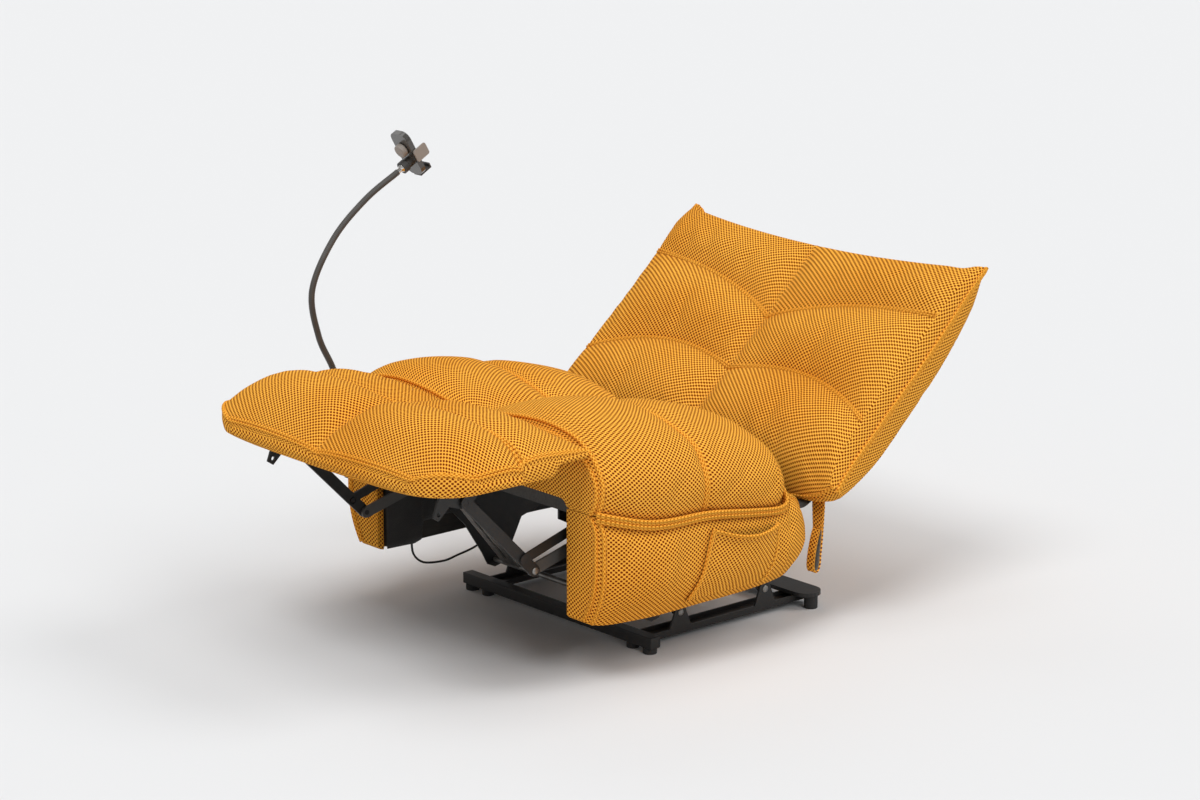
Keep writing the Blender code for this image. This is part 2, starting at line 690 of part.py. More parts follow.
def build_drive():
    """Slotted drive rail with its screw, block, gearbox and motor, and the torque tube."""
    start = CROSS_ROD_RADIUS + GAP
    slot_half = SCREW_RADIUS + 0.002
    rail = drive_box(start, DRIVE_LENGTH, -DRIVE_DEPTH / 2, DRIVE_DEPTH / 2, DRIVE_HALF_WIDTH,
                     "drive_rail", "zinc", 0.0015)
    slot = drive_box(start + 0.020, DRIVE_LENGTH - 0.012, -DRIVE_DEPTH, DRIVE_DEPTH, slot_half,
                     "drive_slot_tool", "zinc")
    boolean(rail, slot)
    screw_start = start + 0.020 + GAP
    screw_end = DRIVE_LENGTH - 0.012 - GAP
    direction = (0, math.cos(DRIVE_ANGLE), math.sin(DRIVE_ANGLE))
    place("lead_screw", rod((DRIVE_X, *on_drive(screw_start)), direction,
                            screw_end - screw_start, SCREW_RADIUS, 12), "chrome",
          round_piece=True)
    half = 0.015
    depth = DRIVE_DEPTH / 2 + RUN
    block = drive_box(BLOCK_REST - half, BLOCK_REST + half, -depth - 0.008, depth + 0.008,
                      DRIVE_HALF_WIDTH + 0.006, "drive_block", "dark plastic", 0.001)
    wide = DRIVE_HALF_WIDTH + RUN
    passage = drive_box(BLOCK_REST - 2 * half, BLOCK_REST + 2 * half, -depth, depth, wide,
                        "block_passage_tool", "dark plastic")
    boolean(block, passage)
    gear_start = DRIVE_LENGTH + GAP
    gearbox = drive_box(gear_start, gear_start + 0.028, -0.020, 0.020, DRIVE_HALF_WIDTH + 0.003,
                        "drive_motor", "dark plastic", 0.003)
    centre = on_drive(gear_start + 0.015)
    motor = place("motor_can_tool", rod((DRIVE_X + DRIVE_HALF_WIDTH, *centre), (1, 0, 0),
                                        MOTOR_LENGTH, MOTOR_RADIUS, 24, 0.003), "dark plastic")
    boolean(gearbox, motor, "UNION")
    length = 2 * (PLATE_IN - 0.0012)
    torque = place("torque_tube", rod((-length / 2, *MAIN_PIVOT), (1, 0, 0), length,
                                      TORQUE_RADIUS, 20), "black steel", (0, *MAIN_PIVOT),
                   round_piece=True)
    tip = (MAIN_PIVOT[0] + CRANK_REACH * math.cos(CRANK_REST),
           MAIN_PIVOT[1] + CRANK_REACH * math.sin(CRANK_REST))
    for cheek, offset in (("inner", 1), ("outer", -1)):
        x = DRIVE_X + offset * (DRIVE_HALF_WIDTH + 0.006 + 0.0035)
        bm = slab(bar(MAIN_PIVOT, tip, 0.009), x - 0.002, x + 0.002, [(*tip, 0.0045)])
        boolean(torque, place("crank_tool_" + cheek, bm, "black steel"), "UNION")


# Seat

def side_x(y):
    """Fullest half-width of the seat and side pads."""
    return eased(SIDE_LINE, y)


def welt_z(y):
    return eased(WELT_LINE, y)


def seam_draw(y):
    """How far the sewn cross channel pulls the seat in."""
    return SEAT_SEAM_DEPTH * math.exp(-((y - SEAT_SEAM_Y) / 0.011) ** 2)


def seat_half_profile(y, ease):
    """Upper right of a seat section from the middle channel out and down to the welt."""
    crest = eased(CREST_LINE, y) - ease - seam_draw(y)
    channel = eased(CHANNEL_LINE, y) - ease - 0.4 * seam_draw(y)
    full = side_x(y) - 0.8 * ease - 0.6 * seam_draw(y)
    welt = welt_z(y) + GAP
    rise = crest - channel
    fall = crest - welt
    knots = ((0.0, channel), (0.035, channel + 0.12 * rise), (0.085, channel + 0.52 * rise),
             (0.150, channel + 0.90 * rise), (CREST_X, crest), (0.290, crest - 0.07 * fall),
             (full - 0.040, crest - 0.22 * fall), (full - 0.012, crest - 0.42 * fall),
             (full, crest - 0.62 * fall), (full - 0.003, crest - 0.82 * fall),
             (full - 0.010, welt + 0.010), (full - WELT_TUCK, welt))
    return knots


def seat_section(y, ease=0.0):
    """One closed section across the seat cushion."""
    upper = seat_half_profile(y, ease)
    inner = LINING_IN + GAP if y < BODY_FRONT_Y + FACE_DEPTH - GAP else PAD_IN
    bed = SEAT_BED_Z + GAP
    welt = upper[-1][1]
    right = [(x, z) for x, z in upper]
    left = [(-x, z) for x, z in upper[:0:-1]]
    under = [(inner, welt), (inner, bed), (0.14, bed), (0.0, bed), (-0.14, bed),
             (-inner, bed), (-inner, welt)]
    return [(x, y, z) for x, z in left + right + under]


def build_seat_cushion():
    """One upholstered saddle: two lobes, a middle channel and a sewn cross channel."""
    face = BODY_FRONT_Y + FACE_DEPTH
    stations = [(BODY_FRONT_Y, 0.016), (BODY_FRONT_Y + 0.004, 0.007), (BODY_FRONT_Y + 0.012, 0.0015),
                (face - GAP - 0.0006, 0.0), (face - GAP, 0.0)]
    stations += [(y, 0.0) for y in BODY_STATIONS[:-3]]
    stations += [(y, ease) for y, ease in zip(BODY_STATIONS[-3:], (0.002, 0.008, 0.020))]
    bm = loft([seat_section(y, ease) for y, ease in stations])
    place("seat_cushion", bm, "mesh fabric", round_piece=True)


def pad_top(y):
    """Top of the side pad: the welt line, then the round behind the seat."""
    if y <= SEAT_REAR_Y + 0.001:
        return welt_z(y) - GAP
    return eased(PAD_REAR_TOP_LINE, y)


def pad_profile(share):
    """Draw-in of the side pad's outer face, from its top (0) to its bottom (1)."""
    top = WELT_TUCK * (1 - min(share / 0.16, 1)) ** 1.6
    low = 0.036 * max(0, (share - 0.45) / 0.55) ** 2.4
    return top + low


def pad_x(y, z):
    """Outer face of the side pad."""
    top, bottom = pad_top(y), eased(PAD_BOTTOM_LINE, y)
    share = min(max((top - z) / (top - bottom), 0), 1)
    return side_x(y) - pad_profile(share)


PAD_SHARES = (0.0, 0.03, 0.08, 0.16, 0.30, 0.45, 0.60, 0.74, 0.86, 0.95, 1.0)


def pad_section(side, y, ease, inner):
    """One closed section through a side pad."""
    top, bottom = pad_top(y), eased(PAD_BOTTOM_LINE, y)
    top -= 0.0 if y <= SEAT_REAR_Y else ease
    bottom += 0.5 * ease
    points = []
    for share in PAD_SHARES:
        full = max(side_x(y) - pad_profile(share) - ease, inner + 0.004)
        points.append((full, top + (bottom - top) * share))
    points += [(inner, bottom), (inner, top)]
    return [(side * x, y, z) for x, z in points]


def build_side_pads():
    """Padded sides below the welt, wrapped round the front of the side boards."""
    face = BODY_FRONT_Y + FACE_DEPTH
    near = LINING_IN + GAP
    stations = [(BODY_FRONT_Y, 0.016, near), (BODY_FRONT_Y + 0.004, 0.007, near),
                (BODY_FRONT_Y + 0.012, 0.0015, near), (face - GAP - 0.0006, 0.0, near),
                (face - GAP, 0.0, PAD_IN)]
    stations += [(y, 0.0, PAD_IN) for y in BODY_STATIONS]
    stations += [(y, 0.0, PAD_IN) for y in (SEAT_REAR_Y + 0.004, 0.200, 0.222, 0.240, 0.252)]
    stations += [(0.259, 0.002, PAD_IN), (PAD_REAR_Y, 0.006, PAD_IN)]
    for name, side in SIDES.items():
        bm = loft([pad_section(side, *station) for station in stations])
        place("side_pad_" + name, bm, "mesh fabric", round_piece=True)


def build_side_boards():
    """Plywood side boards behind the pads, with their thin inner linings."""
    front = BODY_FRONT_Y + FACE_DEPTH + GAP
    top = SEAT_BED_Z
    board = [(front, 0.122), (0.205, 0.122), (0.232, 0.143), (0.242, 0.178), (0.232, 0.218),
             (0.205, 0.246), (0.171, 0.258), (0.171, top), (front, top)]
    lining = [(front, 0.118), (-0.195, 0.116), (-0.178, 0.121), (-0.172, 0.157),
              (-0.110, 0.161), (-0.031, 0.150), (0.010, 0.126), (0.200, 0.120),
              (0.226, 0.145), (0.234, 0.180), (0.224, 0.215), (0.200, 0.240), (0.171, 0.252),
              (0.171, top), (front, top)]
    for name, side in SIDES.items():
        place("side_board_" + name,
              mirror_slab(side, board, BOARD_IN, BOARD_OUT), "plywood")
        place("inner_lining_" + name,
              mirror_slab(side, lining, LINING_IN, LINING_IN + LINING_THICK), "lining")


def build_rear_cover():
    """Black cloth panel that closes the back of the seat."""
    y = SEAT_REAR_Y + 0.0008
    wide = SEAT_BED_Z - REAR_RAIL_HEIGHT + GAP
    points = [(0.350, wide), (0.352, 0.330), (0.325, 0.352), (0.220, 0.366), (0.100, 0.350),
              (0.030, 0.338)]
    outline = ([(x, z) for x, z in points] + [(-x, z) for x, z in points[::-1]]
               + [(-0.222, wide), (-0.222, 0.180), (0.222, 0.180), (0.222, wide)])
    bm = bmesh.new()
    rings = [[bm.verts.new((x, y + step, z)) for x, z in outline] for step in (0, 0.002)]
    add_wall(bm, *rings)
    bm.faces.new(rings[0])
    bm.faces.new(rings[1])
    place("rear_cover", bm, "lining")


POCKET_LEFT = ((0.0, -0.089, 0.134), (0.35, -0.066, 0.180), (0.72, -0.050, 0.234),
               (1.0, -0.040, 0.268))
POCKET_RIGHT = ((0.0, 0.106, 0.134), (0.35, 0.122, 0.165), (0.72, 0.132, 0.205),
                (1.0, 0.132, 0.246))
POCKET_DIP = 0.014
POCKET_CLOTH = 0.003
POCKET_GAPE = 0.013
POCKET_SEAT = 0.0011


def pocket_point(a, b, lift):
    """A point of the pocket, across (a) and up (b), standing off the pad."""
    left = [eased([(p[0], p[i]) for p in POCKET_LEFT], b) for i in (1, 2)]
    right = [eased([(p[0], p[i]) for p in POCKET_RIGHT], b) for i in (1, 2)]
    y = left[0] + (right[0] - left[0]) * a
    z = left[1] + (right[1] - left[1]) * a - POCKET_DIP * b * math.sin(math.pi * a)
    gape = POCKET_GAPE * math.sin(math.pi * a) ** 0.6 * b ** 1.2
    return Vector((pad_x(y, z) + POCKET_SEAT + gape + lift, y, z))


def build_pocket():
    """Cloth pocket sewn on the left side pad, open at its top."""
    across = [i / 14 for i in range(15)]
    up = [i / 8 for i in range(9)]
    bm = pillow(lambda a, b: pocket_point(a, b, POCKET_CLOTH), lambda a, b: pocket_point(a, b, 0),
                across, up)
    place("side_pocket", bm, "mesh fabric", round_piece=True)


# Footrest

def foot_crown(x, y):
    """Top of the footrest cushion: two bays long and two wide."""
    across = min(abs(x) / FOOT_HALF, 1)
    columns = math.sin(math.pi * min(across * 0.98 + 0.01, 1)) ** 0.55
    edge = (1 - across ** 6) ** 0.5
    front_share = (y - FOOT_FRONT_Y) / (FOOT_SEAM_Y - FOOT_FRONT_Y)
    rear_share = (y - FOOT_SEAM_Y) / (FOOT_REAR_Y - FOOT_SEAM_Y)
    if y < FOOT_SEAM_Y:
        rim, seam = 0.428, FOOT_TUFT_Z
        base = rim + (seam - rim) * math.sin(math.pi / 2 * max(front_share, 0)) ** 0.6
        puff = math.sin(math.pi * max(front_share, 0)) ** 0.6
    else:
        base = FOOT_TUFT_Z + (FOOT_REAR_Z + 0.018 - FOOT_TUFT_Z) * min(rear_share, 1) ** 1.3
        puff = math.sin(math.pi * min(rear_share, 1)) ** 0.8 * 0.45
    rise = FOOT_PUFF * columns * (0.3 * (1 - 0.6 * min(max(rear_share, 0), 1)) + puff)
    low = 0.432 if y < FOOT_SEAM_Y else FOOT_REAR_Z + 0.008
    return low + (base + rise - low) * edge


def foot_plan(u, v):
    """Plan of the footrest: nearly square, with rounded front corners."""
    y = FOOT_REAR_Y + (FOOT_FRONT_Y - FOOT_REAR_Y) * v
    half = FOOT_HALF
    into = FOOT_FRONT_Y + FOOT_CORNER - y
    if into > 0:
        half -= FOOT_CORNER - math.sqrt(max(FOOT_CORNER ** 2 - into ** 2, 0))
    return half * u, y


def build_footrest():
    """Footrest cushion, recessed underneath for its board."""
    side = (0.0, 0.10, 0.26, 0.44, 0.62, 0.78, 0.90, 0.97, 1.0)
    across = [-u for u in side[:0:-1]] + list(side)
    seam = (FOOT_SEAM_Y - FOOT_REAR_Y) / (FOOT_FRONT_Y - FOOT_REAR_Y)
    rear = [seam * t for t in (0.0, 0.12, 0.34, 0.60, 0.84, 0.95)]
    front = [seam + (1 - seam) * t for t in (0.0, 0.05, 0.16, 0.36, 0.58, 0.78, 0.90, 0.97, 1.0)]

    def top(u, v):
        x, y = foot_plan(u, v)
        return Vector((x, y, max(foot_crown(x, y), 0.430)))

    def under(u, v):
        x, y = foot_plan(u, v)
        inner = (1 - abs(u) ** 8) * math.sin(math.pi * min(max(v, 0.0), 1)) ** 0.35
        rim = 0.437 if v < 0.2 else 0.416
        low = FOOT_BOARD_Z - 0.010 * (1 - abs(u) ** 2)
        sag = low if v > 0.25 else low + (0.437 - low) * (1 - v / 0.25) ** 1.5
        return Vector((x * 0.992, y + 0.002 * (2 * v - 1), rim + (sag - rim) * inner))

    cushion = place("footrest_cushion", pillow(top, under, across, rear + front), "mesh fabric",
                    (0, *FOOT_PIVOT), round_piece=True)
    low = (-FOOT_BOARD_HALF, FOOT_BOARD_FRONT_Y, FOOT_BOARD_Z)
    high = (FOOT_BOARD_HALF, FOOT_BOARD_REAR_Y, FOOT_BOARD_Z + FOOT_BOARD_THICK)
    place("footrest_board", box(low, high, 0.001), "plywood", (0, *FOOT_PIVOT))
    recess = place("footrest_recess_tool",
                   box((low[0] - GAP, low[1] - GAP, low[2] - 0.05),
                       (high[0] + GAP, high[1] + GAP, high[2] + GAP)), "mesh fabric")
    boolean(cushion, recess)


# Back

def back_top(x):
    """Top edge of the back: highest at the two ears."""
    return BACK_LENGTH - BACK_DIP * (1 - (abs(x) / BACK_HALF) ** 2.2)


def back_rows(x):
    """Heights of the two sewn cross seams, lowest in the middle."""
    share = abs(x) / BACK_HALF
    lower = 0.206 + 0.034 * math.sin(math.pi * share) - 0.038 * share ** 2
    upper = 0.339 + 0.098 * share ** 0.8 + 0.014 * math.sin(math.pi * share) - 0.008 * share ** 2
    return lower, upper


def back_plan(u, v):
    """A place on the back's seam plane, with v 0, 1, 2 and 3 at bottom, seams and top."""
    x = BACK_HALF * u
    lower, upper = back_rows(x)
    marks = (0.0, lower, upper, back_top(x))
    row = min(int(v), 2)
    s = marks[row] + (marks[row + 1] - marks[row]) * (v - row)
    corner = 0.030 * abs(u) ** 10
    if row == 0:
        s += corner * (1 - v)
    waist = 1 - 0.020 * math.sin(math.pi * min(max(s / BACK_LENGTH, 0), 1))
    return x * waist, s


def ear(u, v):
    """How much a place belongs to one of the two pointed top corners."""
    out = min(max((abs(u) - 0.84) / 0.16, 0), 1)
    high = min(max((v - 2.55) / 0.45, 0), 1)
    return (out * high) ** 1.5


def back_face(u, v):
    """Front of the back cushion: three rows of two pillows between sewn lines."""
    x, s = back_plan(u, v)
    row = min(int(v), 2)
    columns = math.sin(math.pi * min(abs(u), 1)) ** 0.5
    rows = math.sin(math.pi * (v - row)) ** 0.5 if 0 < v < 3 else 0
    full = (1.0, 0.95, 0.75)[row]
    height = eased(BACK_SEAM_LINE, s) + BACK_PUFF * full * max(columns, 0) * max(rows, 0)
    inset = 1 - BACK_SIDE_ROUND / BACK_HALF * abs(u) ** 8
    return x * inset, s, height - BACK_EAR_PINCH * ear(u, v)


def back_rear(u, v):
    """Rear of the back cushion: one long lens, rounded at its sides."""
    x, s = back_plan(u, v)
    lens = 0.010 * (1 - abs(u) ** 2) * math.sin(math.pi * min(v / 3, 1))
    rounded = 0.012 * abs(u) ** 8
    inset = 1 - 1.6 * BACK_SIDE_ROUND / BACK_HALF * abs(u) ** 8
    height = eased(BACK_REAR_LINE, s) - lens + rounded
    return x * inset, s, height + BACK_EAR_PINCH * ear(u, v)


def back_side(u, v):
    """Middle of the boxed side, between the front and the rear."""
    x, s = back_plan(u, v)
    front, rear = back_face(u, v), back_rear(u, v)
    out = BACK_SIDE_ROUND * min(max(2 * v, 0), 1) if v >= 3 else 0
    return x, s + out, 0.55 * front[2] + 0.45 * rear[2]


def build_back():
    """Back cushion with its board and hinge brackets, on one tilted frame."""
    frame = bpy.data.objects.new("back_hinge_axis", None)
    bpy.context.collection.objects.link(frame)
    frame.location = (0, BACK_HINGE[0] - MID_Y, BACK_HINGE[1])
    frame.rotation_euler.x = BACK_ANGLE

    def local(x, s, n):
        return Vector((x, s - HINGE_S, n - HINGE_N))

    side = (0.0, 0.05, 0.14, 0.27, 0.42, 0.57, 0.71, 0.83, 0.92, 0.975, 1.0)
    across = [-u for u in side[:0:-1]] + list(side)
    row = (0.0, 0.10, 0.28, 0.50, 0.72, 0.90)
    along = [0.0, 0.04] + list(row[1:]) + [1 + t for t in row] + [2 + t for t in row]
    along += [2.97, 3.0]
    body = pillow(lambda u, v: local(*back_face(u, v)), lambda u, v: local(*back_rear(u, v)),
                  across, along, lambda u, v: local(*back_side(u, v)))
    cushion = place("back_cushion", body, "mesh fabric", frame=frame, round_piece=True)

    half = BACK_BOARD_THICK / 2
    board_half = BACK_BOARD_HALF
    board = box(local(-board_half, BACK_BOARD_START, BACK_BOARD_N - half),
                local(board_half, BACK_BOARD_END, BACK_BOARD_N + half), 0.001)
    place("back_board", board, "plywood", frame=frame)
    slot = box(local(-board_half - GAP, -0.06, BACK_BOARD_N - half - GAP),
               local(board_half + GAP, BACK_BOARD_END + GAP, BACK_BOARD_N + half + GAP))
    notch = box(local(-LIFT_OUT - GAP, -0.06, HINGE_N - 0.0205),
                local(LIFT_OUT + GAP, BRACKET_REACH + 0.012, HINGE_N + 0.0235))
    boolean(cushion, place("board_slot_tool", slot, "plywood", frame=frame))
    boolean(cushion, place("bracket_notch_tool", notch, "plywood", frame=frame))

    foot = (-HINGE_S + HINGE_S, 0.0)
    head = (BRACKET_REACH - HINGE_S - 0.012, BACK_BOARD_N - HINGE_N)
    outline = bar(foot, head, 0.012)
    for name, sign in SIDES.items():
        pins = [(0.0, 0.0, PIN_RADIUS, PLATE_IN - 0.0006)]
        bm = mirror_slab(sign, outline, LIFT_IN, LIFT_OUT, (), pins)
        place("back_bracket_" + name, bm, "black steel", frame=frame)


STRAP_X = (BACK_HALF - 0.083, BACK_HALF - 0.049)
STRAP_THICK = 0.0035
STRAP_TOP = (0.2905, 0.2502)
STRAP_LINE = (STRAP_TOP, (0.2905, 0.2050), (0.2900, 0.1600), (0.2880, 0.1250),
              (0.2840, 0.1120), (0.2780, 0.1085), (0.2730, 0.1125), (0.2715, 0.1240),
              (0.2735, 0.1420), (0.2775, 0.1620), (0.2825, 0.1800), (0.2868, 0.1920))


def build_strap():
    """Cloth pull strap that hangs in a loop behind the left side."""
    centre = route([(0, y, z) for y, z in STRAP_LINE], 30)
    outer, inner = [], []
    for i, point in enumerate(centre):
        run = centre[min(i + 1, len(centre) - 1)] - centre[max(i - 1, 0)]
        normal = Vector((0, -run.z, run.y)).normalized() * STRAP_THICK / 2
        normal *= min(0.2 + 0.8 * i, 1)
        outer.append(((point + normal).y, (point + normal).z))
        inner.append(((point - normal).y, (point - normal).z))
    bm = slab(outer + inner[::-1], *STRAP_X)
    place("strap_loop", bm, "mesh fabric", (sum(STRAP_X) / 2, *STRAP_TOP), round_piece=True)


# Phone arm

def holder_forward():
    """Direction the neck's end and the phone holder face."""
    return Vector((0, math.cos(HOLDER_TILT), math.sin(HOLDER_TILT)))


def build_neck():
    """Socket on the right side and the flexible neck that stands in it."""
    foot = Vector(NECK_ROUTE[0])
    outer = NECK_RADIUS + 0.0035
    plate_x = -(max(pad_x(foot.y + dy, foot.z + dz) for dy in (-0.014, 0, 0.014)
                    for dz in (-0.06, -0.04, -0.02, 0, 0.01)) + GAP - PAD_FACET)
    socket = place("neck_socket", tube_ring(foot - Vector((0, 0, 0.012)), (0, 0, 1), 0.052,
                                            NECK_RADIUS + GAP, outer), "black steel",
                   round_piece=True)
    back = box((foot.x + NECK_RADIUS + 0.0015, foot.y - 0.014, foot.z - 0.060),
               (plate_x, foot.y + 0.014, foot.z + 0.010), 0.001)
    floor = rod(foot - Vector((0, 0, 0.014)), (0, 0, 1), 0.0135, outer, 24)
    boolean(socket, place("socket_plate_tool", back, "black steel"), "UNION")
    boolean(socket, place("socket_floor_tool", floor, "black steel"), "UNION")
    points = route(NECK_ROUTE, 52)
    cord("flexible_neck", points + [points[-1] + holder_forward() * NECK_STUB], NECK_RADIUS, 4,
         "ribbed steel")


def rounded(low_a, high_a, low_b, high_b, radius):
    """Outline of a rectangle with rounded corners."""
    outline = []
    for turn, (a, b) in enumerate(((high_a, high_b), (low_a, high_b),
                                   (low_a, low_b), (high_a, low_b))):
        centre_a = a - math.copysign(radius, a - (low_a + high_a) / 2)
        centre_b = b - math.copysign(radius, b - (low_b + high_b) / 2)
        for step in range(6):
            angle = math.pi / 2 * (turn + step / 5)
            outline.append((centre_a + radius * math.cos(angle),
                            centre_b + radius * math.sin(angle)))
    return outline


def build_holder():
    """Ball joint and spring-jawed phone holder at the neck's end."""
    forward = holder_forward()
    tip = Vector(NECK_ROUTE[-1]) + forward * NECK_STUB
    ball = tip + forward * (GAP + 0.006 + BALL_RADIUS)
    profile = [(-BALL_RADIUS - 0.006, 0.0055), (-BALL_RADIUS + 0.0015, 0.0050)]
    for i in range(1, 9):
        angle = math.radians(-58 + 18 * (i - 1))
        profile.append((BALL_RADIUS * math.sin(angle), BALL_RADIUS * math.cos(angle)))
    profile.append((BALL_RADIUS * 0.985, 0.0012))
    place("ball_stud", turned(profile, ball, forward, 20), "chrome", (0, 0, 0),
          round_piece=True)
    frame = bpy.data.objects.new("holder_axis", None)
    bpy.context.collection.objects.link(frame)
    frame.location = ball - Vector((0, MID_Y, 0))
    frame.rotation_euler.x = HOLDER_TILT
    ring_end = 0.0085
    place("ring_nut", tube_ring((0, -0.003, 0), (0, 1, 0), ring_end + 0.003,
                                BALL_RADIUS + 0.0004, 0.0125, 20), "dark plastic", frame=frame,
          round_piece=True)
    boss_end = 0.020
    plate = (boss_end, boss_end + 0.011)
    rise = 0.014
    shell = slab(rounded(-HOLDER_HALF, HOLDER_HALF, rise - 0.045, rise + 0.052, 0.016), *plate)
    bmesh.ops.rotate(shell, matrix=Matrix.Rotation(math.pi / 2, 3, "Z"), verts=shell.verts)
    body = place("holder_body", shell, "smoke plastic", frame=frame)
    boss_start = BALL_RADIUS + 2 * GAP
    boss = rod((0, boss_start, 0), (0, 1, 0), boss_end - boss_start + 0.002, 0.0105, 20)
    boolean(body, place("holder_boss_tool", boss, "smoke plastic", frame=frame), "UNION")
    tongue = (0.0035, 0.0075)
    reach = 0.014
    for name, side in SIDES.items():
        x_low, x_high = sorted((side * 0.009, side * (HOLDER_HALF + 0.01)))
        slot = box((x_low, plate[0] + tongue[0] - GAP, rise - 0.007 - GAP),
                   (x_high, plate[0] + tongue[1] + GAP, rise + 0.007 + GAP))
        boolean(body, place("jaw_slot_tool_" + name, slot, "smoke plastic", frame=frame))
        x_low, x_high = sorted((side * (HOLDER_HALF + 0.0006), side * (HOLDER_HALF + 0.0034)))
        leaf = rounded(plate[0] + 0.001, plate[1] + 0.022, rise - 0.013, rise + 0.013, 0.004)
        jaw = place("jaw_" + name, slab(leaf, x_low, x_high), "taupe plastic", frame=frame)
        x_low, x_high = sorted((side * (HOLDER_HALF - reach), side * (HOLDER_HALF + 0.002)))
        arm = box((x_low, plate[0] + tongue[0], rise - 0.007),
                  (x_high, plate[0] + tongue[1], rise + 0.007))
        boolean(jaw, place("jaw_arm_tool_" + name, arm, "taupe plastic", frame=frame), "UNION")
    foot_top = rise - 0.045
    slot = box((-0.007 - GAP, plate[0] + tongue[0] - GAP, foot_top - 0.01),
               (0.007 + GAP, plate[0] + tongue[1] + GAP, foot_top + 0.026))
    boolean(body, place("foot_slot_tool", slot, "smoke plastic", frame=frame))
    foot = place("phone_foot", box((-0.011, plate[0] + 0.002, foot_top - 0.0046),
                                   (0.011, plate[1] + 0.020, foot_top - 0.0006), 0.0008),
                 "smoke plastic", frame=frame)
    stem = box((-0.007, plate[0] + tongue[0], foot_top - 0.002),
               (0.007, plate[0] + tongue[1], foot_top + 0.022))
    lip = box((-0.011, plate[1] + 0.0170, foot_top - 0.003),
              (0.011, plate[1] + 0.0200, foot_top + 0.006))
    boolean(foot, place("foot_stem_tool", stem, "smoke plastic", frame=frame), "UNION")
    boolean(foot, place("foot_lip_tool", lip, "smoke plastic", frame=frame), "UNION")
    place("clamp_knob", turned(((0, 0.012), (0.001, 0.0135), (0.010, 0.0140), (0.0116, 0.0125)),
                               (0, plate[0] - 0.0119 - GAP, rise + 0.021 - 0.0045), (0, 1, 0), 24),
          "dark plastic", frame=frame, round_piece=True)


PANEL_Y = -0.095
PANEL_Z = 0.238
PANEL_HALF = 0.030
PANEL_TALL = 0.034
PANEL_THICK = 0.0080
BUTTON_HALF = 0.0105
BUTTON_TALL = 0.0120
BUTTON_PLAY = 0.0004
BUTTON_LONG = 0.0068
BUTTON_PROUD = 0.0015


def build_control():
    """Two-button panel on the right side pad, and its lead."""
    reach = max(pad_x(PANEL_Y + dy, PANEL_Z + dz) for dy in (-0.03, -0.015, 0, 0.015, 0.03)
                for dz in (-0.017, 0, 0.017))
    face = -(reach + GAP + PANEL_THICK)
    panel = place("control_panel", box((face, PANEL_Y - PANEL_HALF, PANEL_Z - PANEL_TALL / 2),
                                       (face + PANEL_THICK, PANEL_Y + PANEL_HALF,
                                        PANEL_Z + PANEL_TALL / 2), 0.0012), "dark plastic")
    for name, offset in (("recline", -0.0135), ("upright", 0.0135)):
        y = PANEL_Y + offset
        hole = box((face - 0.01, y - BUTTON_HALF - BUTTON_PLAY, PANEL_Z - BUTTON_TALL - BUTTON_PLAY),
                   (face + 0.02, y + BUTTON_HALF + BUTTON_PLAY, PANEL_Z + BUTTON_TALL + BUTTON_PLAY))
        boolean(panel, place("button_hole_tool_" + name, hole, "dark plastic"))
        place("button_" + name, box((face - BUTTON_PROUD, y - BUTTON_HALF, PANEL_Z - BUTTON_TALL),
                                    (face - BUTTON_PROUD + BUTTON_LONG, y + BUTTON_HALF,
                                     PANEL_Z + BUTTON_TALL), 0.0008), "taupe plastic",
              (face, y, PANEL_Z))
    cord("control_lead", route(LEAD_ROUTE, 34), LEAD_RADIUS, 2, "rubber")


build_front_tube()
build_glides()
build_rear_plate()
build_base_rails()
build_lift_links()
build_side_plates()
build_seat_rails()
build_cross_rod()
build_footrest_links()
build_drive()
build_seat_cushion()
build_side_pads()
build_side_boards()
build_rear_cover()
build_pocket()
build_footrest()
build_back()
build_strap()
build_neck()
build_holder()
build_control()
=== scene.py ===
"""Dresses the power recliner: sewn spacer mesh, piping, stitching, cloth and metal finishes.

Metres, +Z up, front towards -Y, the sitter's left is +X. Side-view points are (y, z)
pairs on the drawing whose y runs from a datum, as in the part's own source.
"""
import math

import bmesh
import bpy
import numpy as np
from bpy.props import FloatProperty, FloatVectorProperty, PointerProperty
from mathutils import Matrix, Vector
from mathutils.bvhtree import BVHTree


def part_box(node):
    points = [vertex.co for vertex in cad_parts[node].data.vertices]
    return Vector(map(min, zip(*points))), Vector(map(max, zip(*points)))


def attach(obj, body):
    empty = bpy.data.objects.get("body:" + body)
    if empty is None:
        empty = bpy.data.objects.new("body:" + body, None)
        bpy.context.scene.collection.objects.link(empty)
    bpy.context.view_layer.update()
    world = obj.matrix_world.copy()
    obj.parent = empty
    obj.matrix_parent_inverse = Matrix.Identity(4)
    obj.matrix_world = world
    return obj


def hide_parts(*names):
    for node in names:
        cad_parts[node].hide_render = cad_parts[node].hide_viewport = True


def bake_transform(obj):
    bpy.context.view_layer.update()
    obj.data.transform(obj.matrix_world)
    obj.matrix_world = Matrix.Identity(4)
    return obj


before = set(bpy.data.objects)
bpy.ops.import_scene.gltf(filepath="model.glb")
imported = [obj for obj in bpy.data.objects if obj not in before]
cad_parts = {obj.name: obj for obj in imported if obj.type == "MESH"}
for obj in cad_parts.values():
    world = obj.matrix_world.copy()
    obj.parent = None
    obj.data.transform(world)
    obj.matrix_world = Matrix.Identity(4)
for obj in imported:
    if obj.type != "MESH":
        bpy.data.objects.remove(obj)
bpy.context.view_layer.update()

bl_info = {
    "name": "Power recliner dressing",
    "version": (1, 0, 0),
    "blender": (4, 5, 0),
    "location": "3D View > Sidebar > Recliner",
    "description": "Upholstery, trim and finishes of a power recliner on its CAD frame",
    "category": "Object",
}

SIDES = {"left": 1, "right": -1}

